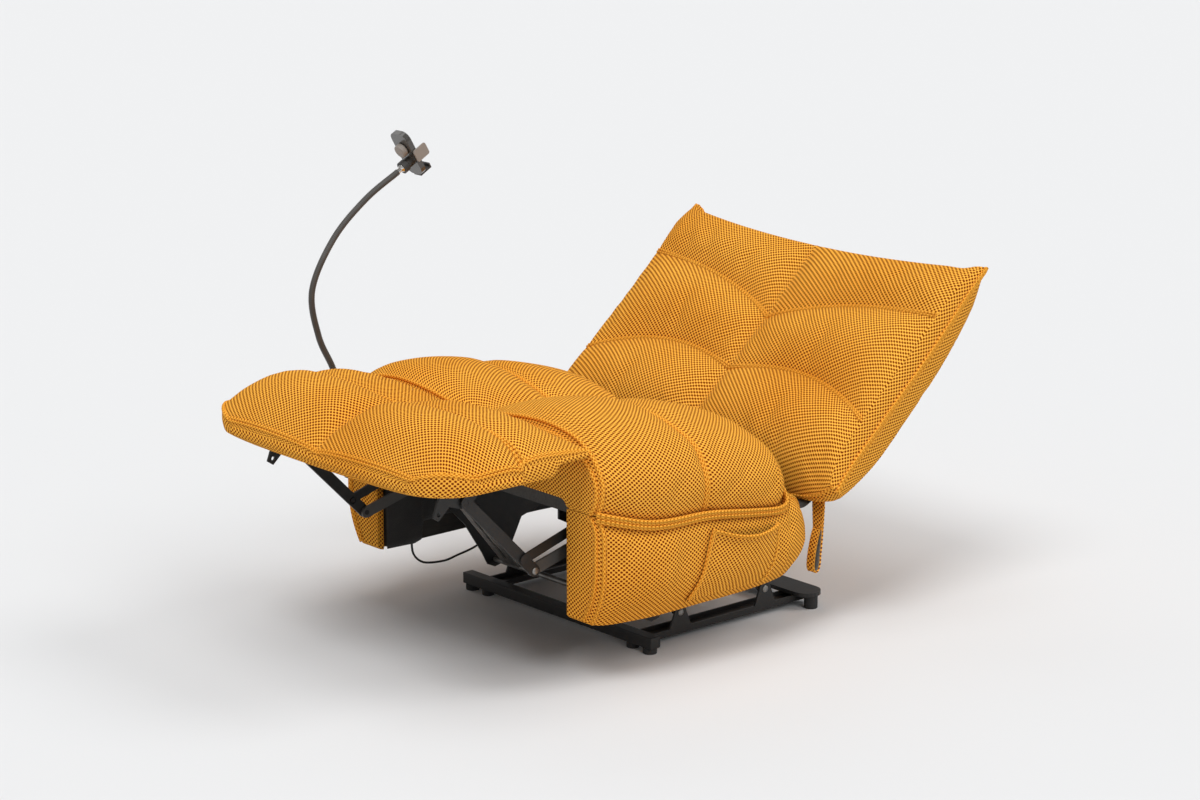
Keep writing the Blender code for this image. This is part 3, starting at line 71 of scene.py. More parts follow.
# Seat and side pads; the lines are in the side view, as in the part's source
MID_Y = 0.0207
GAP = 0.0003
LINING_IN = 0.2795
PAD_IN = 0.2996
SEAT_BED_Z = 0.3430
BODY_FRONT_Y = -0.285
FACE_DEPTH = 0.0227
SEAT_REAR_Y = 0.172
SEAT_SEAM_Y = -0.045
SEAT_SEAM_DEPTH = 0.009
WELT_TUCK = 0.018
CREST_X = 0.222
PAD_REAR_Y = 0.262
CREST_LINE = ((-0.285, 0.474), (-0.25, 0.486), (-0.19, 0.490), (-0.12, 0.481),
              (-0.04, 0.462), (0.04, 0.442), (0.11, 0.420), (0.172, 0.393))
CHANNEL_LINE = ((-0.285, 0.454), (-0.20, 0.440), (-0.11, 0.427), (-0.075, 0.423),
                (0.0, 0.416), (0.08, 0.398), (0.172, 0.364))
WELT_LINE = ((-0.285, 0.328), (-0.18, 0.301), (-0.045, 0.293), (0.07, 0.276),
             (0.15, 0.264), (0.172, 0.268))
SIDE_LINE = ((-0.285, 0.374), (-0.24, 0.388), (-0.15, 0.401), (-0.04, 0.399),
             (0.08, 0.397), (0.172, 0.384), (0.215, 0.372), (0.262, 0.340))
PAD_BOTTOM_LINE = ((-0.285, 0.1185), (-0.24, 0.1150), (0.10, 0.1145), (0.20, 0.1160),
                   (0.235, 0.1270), (0.255, 0.1480), (0.262, 0.1720))
PAD_REAR_TOP_LINE = ((0.176, 0.2830), (0.20, 0.2770), (0.222, 0.2620), (0.240, 0.2400),
                     (0.255, 0.2120), (0.262, 0.1860))
SEAT_EASE_LINE = ((-0.285, 0.016), (-0.281, 0.007), (-0.273, 0.0015), (-0.262, 0.0),
                  (0.140, 0.0), (0.152, 0.002), (0.164, 0.008), (0.172, 0.020))
PAD_EASE_LINE = ((-0.285, 0.016), (-0.281, 0.007), (-0.273, 0.0015), (-0.262, 0.0),
                 (0.250, 0.0), (0.259, 0.002), (0.262, 0.006))

# Pocket: its place on the pad, and its sides as share of its height, y and z
POCKET_TOP_Z = 0.29
POCKET_SPAN = (-0.095, 0.135)
POCKET_LEFT = ((0.0, -0.089, 0.134), (0.35, -0.066, 0.180), (0.72, -0.050, 0.234),
               (1.0, -0.040, 0.268))
POCKET_RIGHT = ((0.0, 0.106, 0.134), (0.35, 0.122, 0.165), (0.72, 0.132, 0.205),
                (1.0, 0.132, 0.246))

# Footrest
FOOT_REAR_Y = -0.2935
FOOT_FRONT_Y = -0.635
FOOT_HALF = 0.352
FOOT_CORNER = 0.095
FOOT_SEAM_Y = -0.443
FOOT_REAR_Z = 0.440
FOOT_PUFF = 0.034
FOOT_TUFT_Z = 0.496
FOOT_BOARD_Z = 0.4000
FOOT_EDGE_Z = 0.437

# Back: lengths along it (s) and heights off its seam plane (n)
BACK_HINGE = (0.275, 0.225)
BACK_ANGLE = math.radians(43.5)
HINGE_S = -0.009
HINGE_N = -0.0315
BACK_HALF = 0.410
BACK_LENGTH = 0.552
BACK_DIP = 0.028
BACK_PUFF = 0.027
BACK_STEP = 0.0105
BACK_SIDE_ROUND = 0.007
BACK_EAR_PINCH = 0.016
BACK_SEAM_LINE = ((0.0, 0.0), (0.020, 0.020), (0.045, 0.035), (0.090, 0.046), (0.200, 0.045),
                  (0.340, 0.038), (0.500, 0.036), (0.552, 0.035))
BACK_REAR_LINE = ((0.0, -0.013), (0.020, -0.026), (0.068, -0.046), (0.142, -0.064),
                  (0.230, -0.069), (0.340, -0.070), (0.440, -0.059), (0.552, -0.034))

# Phone arm, control lead and pull strap
NECK_RADIUS = 0.0065
NECK_ROUTE = ((-0.4035, -0.262, 0.300), (-0.4035, -0.262, 0.324), (-0.4035, -0.262, 0.348),
              (-0.4035, -0.266, 0.392), (-0.4035, -0.294, 0.463),
              (-0.4030, -0.326, 0.530), (-0.4000, -0.341, 0.622), (-0.3950, -0.292, 0.716),
              (-0.3900, -0.218, 0.784), (-0.3850, -0.146, 0.8270))
NECK_STUB = 0.004
HOLDER_TILT = math.radians(30)
LEAD_RADIUS = 0.0022
LEAD_ROUTE = ((-0.2903, -0.194, 0.1212), (-0.2903, -0.194, 0.106), (-0.2900, -0.191, 0.092),
              (-0.2900, -0.180, 0.078), (-0.2900, -0.159, 0.067), (-0.2900, -0.114, 0.062),
              (-0.2900, -0.080, 0.067), (-0.2900, -0.040, 0.074), (-0.2902, -0.012, 0.086),
              (-0.2903, -0.004, 0.102), (-0.2903, -0.003, 0.1212))
STRAP_X = (BACK_HALF - 0.083, BACK_HALF - 0.049)
STRAP_THICK = 0.0035
STRAP_LINE = ((0.2905, 0.2502), (0.2905, 0.2050), (0.2900, 0.1600), (0.2880, 0.1250),
              (0.2840, 0.1120), (0.2780, 0.1085), (0.2730, 0.1125), (0.2715, 0.1240),
              (0.2735, 0.1420), (0.2775, 0.1620), (0.2825, 0.1800), (0.2868, 0.1920))

# Lower and upper edges of the rear cover (x, z) and the linings (y, z)
COVER_LOW = ((-0.350, 0.3003), (-0.2225, 0.3003), (-0.2220, 0.180), (0.2220, 0.180),
             (0.2225, 0.3003), (0.350, 0.3003))
COVER_HIGH = ((-0.352, 0.330), (-0.325, 0.352), (-0.220, 0.366), (-0.100, 0.350),
              (-0.030, 0.338), (0.030, 0.338), (0.100, 0.350), (0.220, 0.366),
              (0.325, 0.352), (0.352, 0.330))
LINING_LOW = ((-0.262, 0.118), (-0.195, 0.116), (-0.178, 0.121), (-0.172, 0.157),
              (-0.110, 0.161), (-0.031, 0.150), (0.010, 0.126), (0.200, 0.120),
              (0.226, 0.145), (0.234, 0.178))
LINING_HIGH = ((-0.262, 0.343), (0.1705, 0.343), (0.1715, 0.252), (0.200, 0.240),
               (0.224, 0.215), (0.234, 0.182))

# Seams, threads and cloth
PIPING_TAPER = 0.26
WELT_FROM_Y, WELT_TO_Y, WELT_STEPS = -0.2835, 0.1675, 46
SIDE_SEAM = 0.45
FOLD_RISE, FOLD_WIDTH = 0.0026, 0.0035
SEAM_LIPS = (-0.0027, 0.0027)
STITCH_LINES = (-0.0050, 0.0050)
FRONT_FOLDS = (-0.2842, -0.2780)
THREAD_LIFT = 0.0002
CLOTH_FRAMES = 16
CLOTH_SETTINGS = {"quality": 5, "mass": 0.35, "tension_stiffness": 12,
                  "compression_stiffness": 12, "shear_stiffness": 4, "bending_stiffness": 0.6,
                  "shrink_min": -0.02, "use_pressure": True, "vertex_group_mass": "held"}

# Camera and backdrop of the photograph
CAMERA_LENS, CAMERA_SENSOR = 105, 36
CAMERA_AZIMUTH, CAMERA_HEIGHT, CAMERA_AWAY = 48.9, 14.52, 6.69
CAMERA_TARGET = (0.040, 0.419)
BACKDROP = (0.855, 0.855, 0.855)

TURN = 2 * math.pi
FINE = 20  # points drawn between two knots of a curve


def both(*names):
    """The left and the right node of each name."""
    return tuple(f"{name}_{side}" for name in names for side in SIDES)


FINISH_OF_NODES = {
    "black steel": ("front_cross_tube", "rear_cross_plate", "torque_tube", "neck_socket",
                    *both("base_rail", "front_lift_link", "rear_lift_link", "seat_plate",
                          "footrest_bracket", "upper_link", "guide_link", "back_bracket")),
    "grey steel": both("main_link"),
    "zinc": ("cross_rod", "drive_rail"),
    "chrome": ("lead_screw", "ball_stud"),
    "plywood": ("footrest_board", "back_board"),
    "dark board": ("front_seat_rail", "rear_seat_rail", *both("side_board")),
    "dark plastic": ("drive_motor", "drive_block", "control_panel", "ring_nut", "phone_foot"),
    "smoke plastic": ("holder_body",),
    "taupe plastic": (*both("jaw"), "clamp_knob", "button_recline", "button_upright"),
    "rubber": both("front_glide", "rear_glide"),
}
FINISHES = {}
TREES = {}


# Shader and geometry trees

class Wire:
    """A node's socket that takes part in sums; each sum adds its Math node."""

    def __init__(self, bench, socket):
        self.bench = bench
        self.socket = socket

    def math(self, operation, *others):
        return self.bench.node("ShaderNodeMath", dict(enumerate((self, *others))),
                               operation=operation)

    def __add__(self, other):
        return self.math("ADD", other)

    __radd__ = __add__

    def __mul__(self, other):
        return self.math("MULTIPLY", other)

    def __sub__(self, other):
        return self.math("SUBTRACT", other)

    def __rsub__(self, other):
        return self.bench.node("ShaderNodeMath", {0: other, 1: self}, operation="SUBTRACT")

    def __truediv__(self, other):
        return self.math("DIVIDE", other)

    def cosine(self):
        return self.math("COSINE")

    def step(self, low, high):
        """Smooth rise from 0 to 1 between two values."""
        return self.bench.node("ShaderNodeMapRange",
                               {"Value": self, "From Min": low, "From Max": high},
                               interpolation_type="SMOOTHSTEP")


class Bench:
    """Places nodes in one tree."""

    def __init__(self, tree):
        self.tree = tree

    def node(self, kind, inputs=None, output=0, **settings):
        made = self.tree.nodes.new(kind)
        for name, value in settings.items():
            setattr(made, name, value)
        for key, value in (inputs or {}).items():
            socket = made.inputs[key]
            if isinstance(value, Wire):
                self.tree.links.new(value.socket, socket)
            elif socket.type == "RGBA" and len(value) == 3:
                socket.default_value = (*value, 1)
            else:
                socket.default_value = value
        return Wire(self, made.outputs[output]) if made.outputs else None

    def mix(self, one, other, share):
        """Colour between two colours."""
        return self.node("ShaderNodeMix", {0: share, 6: one, 7: other}, 2, data_type="RGBA")

    def place(self):
        return self.node("ShaderNodeTexCoord", output="Object")

    def noise(self, scale, detail=2.0, rough=0.5, vector=None):
        return self.node("ShaderNodeTexNoise",
                         {"Vector": vector or self.place(), "Scale": scale, "Detail": detail,
                          "Roughness": rough})

    def cloth_place(self):
        """Across and down the sewn cloth, in metres."""
        at = self.node("ShaderNodeUVMap", uv_map="cloth")
        return [self.node("ShaderNodeSeparateXYZ", {0: at}, axis) for axis in "XY"]

    def bump(self, height, depth, strength=1.0):
        return self.node("ShaderNodeBump",
                         {"Height": height, "Distance": depth, "Strength": strength})


def finish(name, build, *values):
    """A material whose build() adds the nodes and returns the shader's inputs."""
    material = bpy.data.materials.new(name)
    material.use_nodes = True
    material.node_tree.nodes.clear()
    bench = Bench(material.node_tree)
    shader = bench.node("ShaderNodeBsdfPrincipled", build(bench, *values))
    bench.node("ShaderNodeOutputMaterial", {"Surface": shader})
    return material


def lattice_of(u, v, along, down, times=1):
    """Product of two waves: the knots of a weave."""
    return ((u * (times * TURN / along)).cosine() * (v * (times * TURN / down)).cosine())


def spacer_mesh(bench, yarn, shade, hole, along, down, depth):
    """Knitted spacer mesh: rows of round-cornered holes, each row half a step aside."""
    u, v = bench.cloth_place()
    drift = bench.noise(9.0, 1.0) - 0.5
    u = u + drift * (0.35 * along)
    v = v - drift * (0.35 * down)
    lattice = lattice_of(u, v, along, down)
    fibre = bench.noise(700.0)
    hollow = (lattice + (fibre - 0.5) * 0.3).step(0.12, 0.40)
    knit = lattice_of(u, v, along, down, 3)
    tone = bench.noise(3.5, 3.0)
    body = bench.mix(yarn, shade, tone.step(0.35, 0.75) * 0.35 + fibre.step(0.3, 0.8) * 0.3)
    # rim marks the sunk rim round each hole; there the yarn darkens to its shaded copy, a painted
    # shade
    rim = lattice.step(-0.14, 0.22)
    body = bench.mix(body, shade, rim * 0.8)
    height = (1 - hollow) + knit * 0.06 + (fibre - 0.5) * 0.25 - rim * 0.25
    # the hole colour is painted shade down in the holes
    return {"Base Color": bench.mix(body, hole, hollow), "Roughness": 0.82 + fibre * 0.12,
            "Normal": bench.bump(height, depth, 0.9), "Specular IOR Level": 0.04}


def plain_thread(bench, colour, dark):
    """Sewing thread with a slight twist."""
    fibre = bench.noise(1500.0)
    return {"Base Color": bench.mix(dark, colour, fibre.step(0.3, 0.7)),
            "Roughness": 0.6 + fibre * 0.2, "Normal": bench.bump(fibre, 0.0003)}


def woven_cloth(bench, colour, light, pitch):
    """Plain-woven backing cloth with faint creases."""
    weave = lattice_of(*bench.cloth_place(), pitch, pitch)
    crease = bench.noise(14.0, 4.0, 0.6)
    fibre = bench.noise(900.0)
    tone = crease.step(0.35, 0.75) * 0.5 + fibre * 0.3 + weave * 0.1
    return {"Base Color": bench.mix(colour, light, tone), "Roughness": 0.88 + fibre * 0.1,
            "Normal": bench.bump(weave * 0.12 + crease * 2.5 + fibre * 0.1, 0.0016, 0.8),
            "Sheen Weight": 0.15, "Sheen Roughness": 0.5}


def powder_coat(bench, colour, worn):
    """Powder coat: fine orange peel, dust in the flats and rubbed spots."""
    peel = bench.noise(520.0)
    dust = bench.noise(16.0, 5.0, 0.65)
    rub = bench.noise(60.0, 6.0, 0.75).step(0.63, 0.72)
    tone = bench.mix(colour, worn, dust.step(0.45, 0.85) * 0.35 + rub * 0.35)
    return {"Base Color": tone, "Roughness": 0.36 + dust * 0.22 + rub * 0.1,
            "Metallic": 0.15 + rub * 0.5, "Normal": bench.bump(peel, 0.00035, 0.5),
            "Coat Roughness": 0.3}


def zinc_plate(bench, colour, dark):
    """Bright zinc with cloudy spangle and fine drawing lines."""
    cloud = bench.noise(38.0, 5.0, 0.6)
    grain = bench.noise(1400.0)
    spangle = bench.node("ShaderNodeTexVoronoi",
                         {"Vector": bench.place(), "Scale": 140.0}, "Color")
    flake = bench.node("ShaderNodeSeparateXYZ", {0: spangle}, "X")
    tone = cloud.step(0.35, 0.7) * 0.5 + flake * 0.22
    return {"Base Color": bench.mix(dark, colour, tone), "Roughness": 0.34 + cloud * 0.22,
            "Metallic": 0.88, "Normal": bench.bump(grain * 0.4 + cloud, 0.0003, 0.4)}


def bright_metal(bench, colour, dark):
    """Polished plating with faint handling marks."""
    mark = bench.noise(90.0, 4.0, 0.7)
    return {"Base Color": bench.mix(colour, dark, mark.step(0.5, 0.8)),
            "Roughness": 0.10 + mark.step(0.4, 0.9) * 0.16, "Metallic": 1.0,
            "Normal": bench.bump(mark, 0.00008, 0.3)}


def laminated_wood(bench, colour, dark):
    """Plywood: long grain on its faces and layers on its edges."""
    place = bench.place()
    layers = bench.node("ShaderNodeTexWave",
                        {"Vector": place, "Scale": 90.0, "Distortion": 1.2, "Detail": 2.0},
                        bands_direction="X")
    stretched = bench.node("ShaderNodeMapping",
                           {"Vector": place, "Scale": (60.0, 4.0, 60.0)})
    grain = bench.noise(4.0, 5.0, 0.65, stretched)
    tone = grain.step(0.3, 0.75) * 0.6 + layers * 0.2
    return {"Base Color": bench.mix(colour, dark, tone), "Roughness": 0.62 + grain * 0.2,
            "Normal": bench.bump(grain, 0.0004, 0.5)}


def moulded(bench, colour, light, rough, grain_depth=0.0002, coat=None):
    """Moulded plastic with a fine spark grain and slightly rubbed spots."""
    grain = bench.noise(1300.0)
    cloud = bench.noise(30.0, 4.0, 0.6)
    made = {"Base Color": bench.mix(colour, light, cloud.step(0.4, 0.9) * 0.5 + grain * 0.2),
            "Roughness": rough + cloud * 0.12, "Normal": bench.bump(grain, grain_depth, 0.5)}
    if coat:
        made.update({"Coat Weight": coat, "Coat Roughness": 0.08})
    return made


def matt(bench, colour):
    """Matt paint with no gloss."""
    return {"Base Color": colour, "Roughness": 0.9, "Specular IOR Level": 0.0}


def colours():
    return bpy.context.scene.recliner_colours


def sizes():
    return bpy.context.scene.recliner_sizes


def blended(one, other, share):
    return tuple(a + share * (b - a) for a, b in zip(one, other))


def make_finishes():
    """All finishes of the chair by their plain names, made once."""
    # hole is the painted shade colour of the mesh holes
    yarn, shade, hole, black, zinc, cloth = (
        tuple(getattr(colours(), key))
        for key in ("yarn", "yarn_shade", "mesh_hole_shade", "black_steel", "zinc", "black_cloth"))
    pitches = sizes().mesh_across, sizes().mesh_down
    chrome = (0.72, 0.71, 0.69)
    table = {
        # both meshes have painted shade in their holes; the piping mesh's painted shade is
        # lighter
        "spacer mesh": ("amber_spacer_mesh", spacer_mesh, yarn, shade, hole, *pitches, 0.0016),
        "piping mesh": ("amber_piping_mesh", spacer_mesh, yarn, shade, blended(hole, shade, 0.6),
                        0.0085, 0.0072, 0.0009),
        "thread": ("amber_thread", plain_thread, (0.86, 0.42, 0.045), (0.42, 0.16, 0.012)),
        "black cloth": ("black_backing_cloth", woven_cloth, cloth, (0.060, 0.057, 0.054), 0.0016),
        "grey cloth": ("grey_strap_lining", woven_cloth, (0.20, 0.195, 0.185),
                       (0.33, 0.32, 0.30), 0.0016),
        "webbing": ("woven_webbing", woven_cloth, (0.060, 0.054, 0.048), (0.14, 0.125, 0.11),
                    0.0034),
        "black steel": ("black_powder_coat", powder_coat, black, (0.072, 0.068, 0.064)),
        "grey steel": ("grey_link_steel", powder_coat, (0.088, 0.085, 0.080),
                       (0.17, 0.165, 0.155)),
        "zinc": ("zinc_plate", zinc_plate, zinc, tuple(c * 0.55 for c in zinc)),
        "dark board": ("dark_board", laminated_wood, (0.045, 0.040, 0.034),
                       (0.024, 0.021, 0.018)),
        "chrome": ("polished_chrome", bright_metal, chrome, tuple(c * 0.82 for c in chrome)),
        "plywood": ("plywood", laminated_wood, (0.52, 0.37, 0.21), (0.33, 0.21, 0.11)),
        "dark plastic": ("dark_plastic", moulded, (0.030, 0.029, 0.027), (0.062, 0.059, 0.055),
                         0.42),
        "smoke plastic": ("smoke_plastic", moulded, (0.045, 0.042, 0.038),
                          (0.085, 0.080, 0.074), 0.16, 0.0001, 0.6),
        "taupe plastic": ("taupe_plastic", moulded, (0.27, 0.235, 0.205), (0.36, 0.32, 0.285),
                          0.40),
        "rubber": ("black_rubber", moulded, (0.018, 0.018, 0.018), (0.040, 0.039, 0.038), 0.72,
                   0.0003),
        "ribbed steel": ("ribbed_neck_coat", powder_coat, (0.060, 0.056, 0.051),
                         (0.16, 0.15, 0.14)),
        "lead jacket": ("lead_jacket", moulded, (0.015, 0.015, 0.015), (0.03, 0.03, 0.03), 0.5),
    }
    FINISHES.update({kind: finish(*row) for kind, row in table.items()})


# Plain geometry

def eased(line, at):
    """Read a smooth line through (position, value) points at one position."""
    if at <= line[0][0]:
        return line[0][1]
    if at >= line[-1][0]:
        return line[-1][1]
    index = max(i for i in range(len(line) - 1) if line[i][0] <= at)

    def slope(i):
        low = max(i - 1, 0)
        high = min(i + 1, len(line) - 1)
        return (line[high][1] - line[low][1]) / (line[high][0] - line[low][0])

    width = line[index + 1][0] - line[index][0]
    t = (at - line[index][0]) / width
    start, end = line[index][1], line[index + 1][1]
    return ((2 * t ** 3 - 3 * t ** 2 + 1) * start
            + (t ** 3 - 2 * t ** 2 + t) * width * slope(index)
            + (3 * t ** 2 - 2 * t ** 3) * end
            + (t ** 3 - t ** 2) * width * slope(index + 1))


def through(knots, t):
    """A place on the smooth curve through knots, with t counted in knots."""
    i = min(int(t), len(knots) - 2)
    f = t - i
    a, b, c, d = (knots[max(i - 1, 0)], knots[i], knots[i + 1], knots[min(i + 2, len(knots) - 1)])
    return tuple(0.5 * (2 * q + (r - p) * f + (2 * p - 5 * q + 4 * r - s) * f * f
                        + (3 * q - p - 3 * r + s) * f ** 3) for p, q, r, s in zip(a, b, c, d))


def measured(knots):
    """Fine points on the smooth curve through knots, and their lengths from its start."""
    fine = [Vector(through(knots, k / FINE)) for k in range(FINE * (len(knots) - 1) + 1)]
    lengths = [0.0]
    for a, b in zip(fine, fine[1:]):
        lengths.append(lengths[-1] + (b - a).length)
    return fine, lengths


def route(points, count):
    """Evenly spaced points on a smooth curve through a few route points."""
    fine, lengths = measured(points)
    result = []
    for step in range(count):
        wanted = lengths[-1] * step / (count - 1)
        index = max(i for i in range(len(fine) - 1) if lengths[i] <= wanted + 1e-9)
        share = (wanted - lengths[index]) / (lengths[index + 1] - lengths[index])
        result.append(fine[index].lerp(fine[index + 1], min(share, 1)))
    return result


def sewn_steps(length, step=0.010, near=(0.0028, 0.0058, 0.0098, 0.0155)):
    """Shares of a length from one seam to the next, closer together near both seams."""
    inner = length - 2 * near[-1]
    count = max(2, round(inner / step))
    places = [0.0, *near] + [near[-1] + inner * k / count for k in range(1, count)]
    places += [length - d for d in near[::-1]] + [length]
    return [p / length for p in places]


def hump(distance, width):
    """Smooth hump that is 1 at distance 0."""
    return math.exp(-(distance / width) ** 2)


def fold(distance):
    """Ridge that the cloth folds into beside a sewn edge."""
    return FOLD_RISE * hump(distance, FOLD_WIDTH)


def arch(share):
    """0 at both ends of a span and 1 in its middle."""
    return math.sin(math.pi * share)


def clip(value):
    """The value, held between 0 and 1."""
    return min(max(value, 0), 1)


def drawn(y, z, x=0.0):
    """A drawing point in the chair's frame."""
    return Vector((x, y - MID_Y, z))


def mirrored(half):
    """Steps from the middle outward, given for both sides."""
    return [-m for m in half[:0:-1]] + half


def column(rows, k):
    return [row[k] for row in rows]


def lerp_rows(first, last, marks):
    """Rows between two lines of points."""
    return [[a.lerp(b, m) for a, b in zip(first, last)] for m in marks]


def end_wall(upper, lower, end, marks):
    """An upright wall that closes two panels at one end of their rows."""
    return lerp_rows(column(upper, end), column(lower, end), marks), 0, "upright"


def flank(upper, lower, end, marks):
    """A narrow edge between two panels, one row for each of theirs."""
    return [[a[end].lerp(b[end], m) for m in marks] for a, b in zip(upper, lower)]


def cloth_places(rows, pinned=None):
    """Distances across and down a panel, in metres, from its pinned row and column.

    A panel that is "upright" lies flat across the chair, so its places are plain x and z.
    """
    points = np.array([[tuple(p) for p in row] for row in rows])
    if pinned == "upright":
        return points[..., 0], points[..., 2]
    across = np.zeros(points.shape[:2])
    down = np.zeros(points.shape[:2])
    across[:, 1:] = np.cumsum(np.linalg.norm(np.diff(points, axis=1), axis=2), axis=1)
    down[1:, :] = np.cumsum(np.linalg.norm(np.diff(points, axis=0), axis=2), axis=0)
    pinned_row, pinned_column = pinned or (down.shape[0] // 2, across.shape[1] // 2)
    across -= across[:, pinned_column][:, None]
    down -= down[pinned_row, :][None, :]
    return across, down


def sewn(name, panels, finishes, weld=3e-5):
    """Sew grids of points into one mesh.

    Each panel is (rows, finish number or a function) and may end with the row and column
    that the weave keeps straight along.
    """
    bm = bmesh.new()
    layer = bm.loops.layers.uv.new("cloth")
    for rows, number, *pinned in panels:
        across, down = cloth_places(rows, *pinned)
        verts = [[bm.verts.new(p) for p in row] for row in rows]
        for j in range(len(rows) - 1):
            for i in range(len(rows[0]) - 1):
                corners = ((j, i), (j, i + 1), (j + 1, i + 1), (j + 1, i))
                face = bm.faces.new([verts[b][a] for b, a in corners])
                face.smooth = True
                face.material_index = number(j, i) if callable(number) else number
                for loop, (b, a) in zip(face.loops, corners):
                    loop[layer].uv = (across[b][a], down[b][a])
    bmesh.ops.remove_doubles(bm, verts=bm.verts, dist=weld)
    bmesh.ops.dissolve_degenerate(bm, edges=bm.edges, dist=1e-6)
    bmesh.ops.recalc_face_normals(bm, faces=bm.faces)
    mesh = bpy.data.meshes.new(name)
    bm.to_mesh(mesh)
    bm.free()
    for kind in finishes:
        mesh.materials.append(FINISHES[kind])
    return placed(name, mesh)


def placed(name, data):
    """A new object of the scene."""
    obj = bpy.data.objects.new(name, data)
    bpy.context.scene.collection.objects.link(obj)
    return obj


def fitted(obj, body, replaced=None):
    """Let a piece ride on its body, with its slot and the CAD node it replaces."""
    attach(obj, body)
    if replaced:
        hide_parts(replaced)


def thicken(obj, thickness):
    solid = obj.modifiers.new("Cloth thickness", "SOLIDIFY")
    solid.thickness = thickness
    solid.offset = 0.0


def layer_of(name, rows, thickness):
    """One layer of black cloth, and its area."""
    cloth = sewn(name, [(rows, 0)], ["black cloth"])
    thicken(cloth, thickness)
    return cloth, sum(f.area for f in cloth.data.polygons)


def round_off(obj):
    """One level of subdivision, the same in the view and in the render."""
    smooth = obj.modifiers.new("Smooth cloth", "SUBSURF")
    smooth.levels = smooth.render_levels = 1


def plump(obj, free, pressure, cap):
    """Blow up a closed cushion as cloth. Points with a low freedom stay at their seams."""
    mesh = obj.data
    start = np.zeros(len(mesh.vertices) * 3)
    mesh.vertices.foreach_get("co", start)
    start = start.reshape(-1, 3)
    share = np.array([free(Vector(p)) for p in start])
    held = obj.vertex_groups.new(name="held")
    for index, amount in enumerate(share):
        held.add([index], float(1 - amount), "REPLACE")
    cloth = obj.modifiers.new("Plump", "CLOTH")
    for key, value in CLOTH_SETTINGS.items():
        setattr(cloth.settings, key, value)
    cloth.settings.uniform_pressure_force = pressure
    cloth.settings.effector_weights.gravity = 0
    cloth.collision_settings.use_collision = False
    cloth.point_cache.frame_end = CLOTH_FRAMES + 1
    scene = bpy.context.scene
    for number in range(1, CLOTH_FRAMES + 1):
        scene.frame_set(number)
    blown = obj.evaluated_get(bpy.context.evaluated_depsgraph_get()).to_mesh()
    end = np.zeros(len(mesh.vertices) * 3)
    blown.vertices.foreach_get("co", end)
    move = end.reshape(-1, 3) - start
    far = np.linalg.norm(move, axis=1)
    move *= (np.minimum(far, cap) / np.maximum(far, 1e-9) * share)[:, None]
    obj.modifiers.remove(cloth)
    obj.vertex_groups.remove(held)
    mesh.vertices.foreach_set("co", (start + move).ravel())
    mesh.update()
    scene.frame_set(1)


def upholster(obj, body, node, free, cap, share=1.0):
    """Plump a sewn cushion, round its cloth and put it in its CAD node's place."""
    plump(obj, free, share * sizes().pressure, cap)
    round_off(obj)
    fitted(obj, body, node)


# Threads, piping, ribs and rivets

def geometry_tree(name, numbers, build):
    """A Geometry Nodes tree with named number inputs, closed by Realize and Set Material."""
    tree = bpy.data.node_groups.new(name, "GeometryNodeTree")
    tree.interface.new_socket("Line", in_out="INPUT", socket_type="NodeSocketGeometry")
    for label, (value, low, high) in numbers.items():
        socket = tree.interface.new_socket(label, in_out="INPUT", socket_type="NodeSocketFloat")
        socket.default_value = value
        socket.min_value = low
        socket.max_value = high
        socket.subtype = "DISTANCE"
    tree.interface.new_socket("Finish", in_out="INPUT", socket_type="NodeSocketMaterial")
    tree.interface.new_socket("Made", in_out="OUTPUT", socket_type="NodeSocketGeometry")
    bench = Bench(tree)
    source = tree.nodes.new("NodeGroupInput")
    given = {socket.name: Wire(bench, socket) for socket in source.outputs if socket.name}
    made = build(bench, given)
    made = bench.node("GeometryNodeRealizeInstances", {"Geometry": made})
    made = bench.node("GeometryNodeSetMaterial",
                      {"Geometry": made, "Material": given["Finish"]})
    bench.node("NodeGroupOutput", {"Made": made})
    return tree


def grow(name, tree, lines, finish_kind, facing=None, **numbers):
    """Run a tree on polylines (or on single points) and keep its result as a plain mesh."""
    mesh = bpy.data.meshes.new(name)
    verts, edges = [], []
    for line in lines:
        first = len(verts)
        verts += [tuple(p) for p in line]
        edges += [(k, k + 1) for k in range(first, len(verts) - 1)]
    mesh.from_pydata(verts, edges, [])
    if facing is not None:
        layer = mesh.attributes.new("facing", "FLOAT_VECTOR", "POINT")
        layer.data.foreach_set("vector", [c for v in facing for c in v])
    seed = placed(name + "_line", mesh)
    modifier = seed.modifiers.new(tree.name, "NODES")
    modifier.node_group = tree
    numbers["Finish"] = FINISHES[finish_kind]
    for item in tree.interface.items_tree:
        if item.in_out == "INPUT" and item.name in numbers:
            modifier[item.identifier] = numbers[item.name]
    graph = bpy.context.evaluated_depsgraph_get()
    made = bpy.data.meshes.new_from_object(seed.evaluated_get(graph),
                                           preserve_all_data_layers=True, depsgraph=graph)
    bpy.data.objects.remove(seed)
    made.name = name
    return placed(name, made)


def line_curve(bench, given, step=None):
    """The given line as a curve, drawn anew in even steps where a step is given."""
    curve = bench.node("GeometryNodeMeshToCurve", {"Mesh": given["Line"]})
    if step is None:
        return curve
    return bench.node("GeometryNodeResampleCurve", {"Curve": curve, "Length": step},
                      mode="LENGTH")


def set_out(bench, points, shape, turn, width, height):
    """One shape on every point, turned and scaled."""
    size = bench.node("ShaderNodeCombineXYZ", {"X": width, "Y": width, "Z": height})
    turn = bench.node("FunctionNodeAlignRotationToVector", {"Vector": turn}, axis="Z")
    return bench.node("GeometryNodeInstanceOnPoints",
                      {"Points": points, "Instance": shape, "Rotation": turn, "Scale": size})


def ball(bench, segments, rings):
    return bench.node("GeometryNodeMeshUVSphere",
                      {"Segments": segments, "Rings": rings, "Radius": 1.0})


def smooth_shaded(bench, geometry):
    return bench.node("GeometryNodeSetShadeSmooth", {"Geometry": geometry})


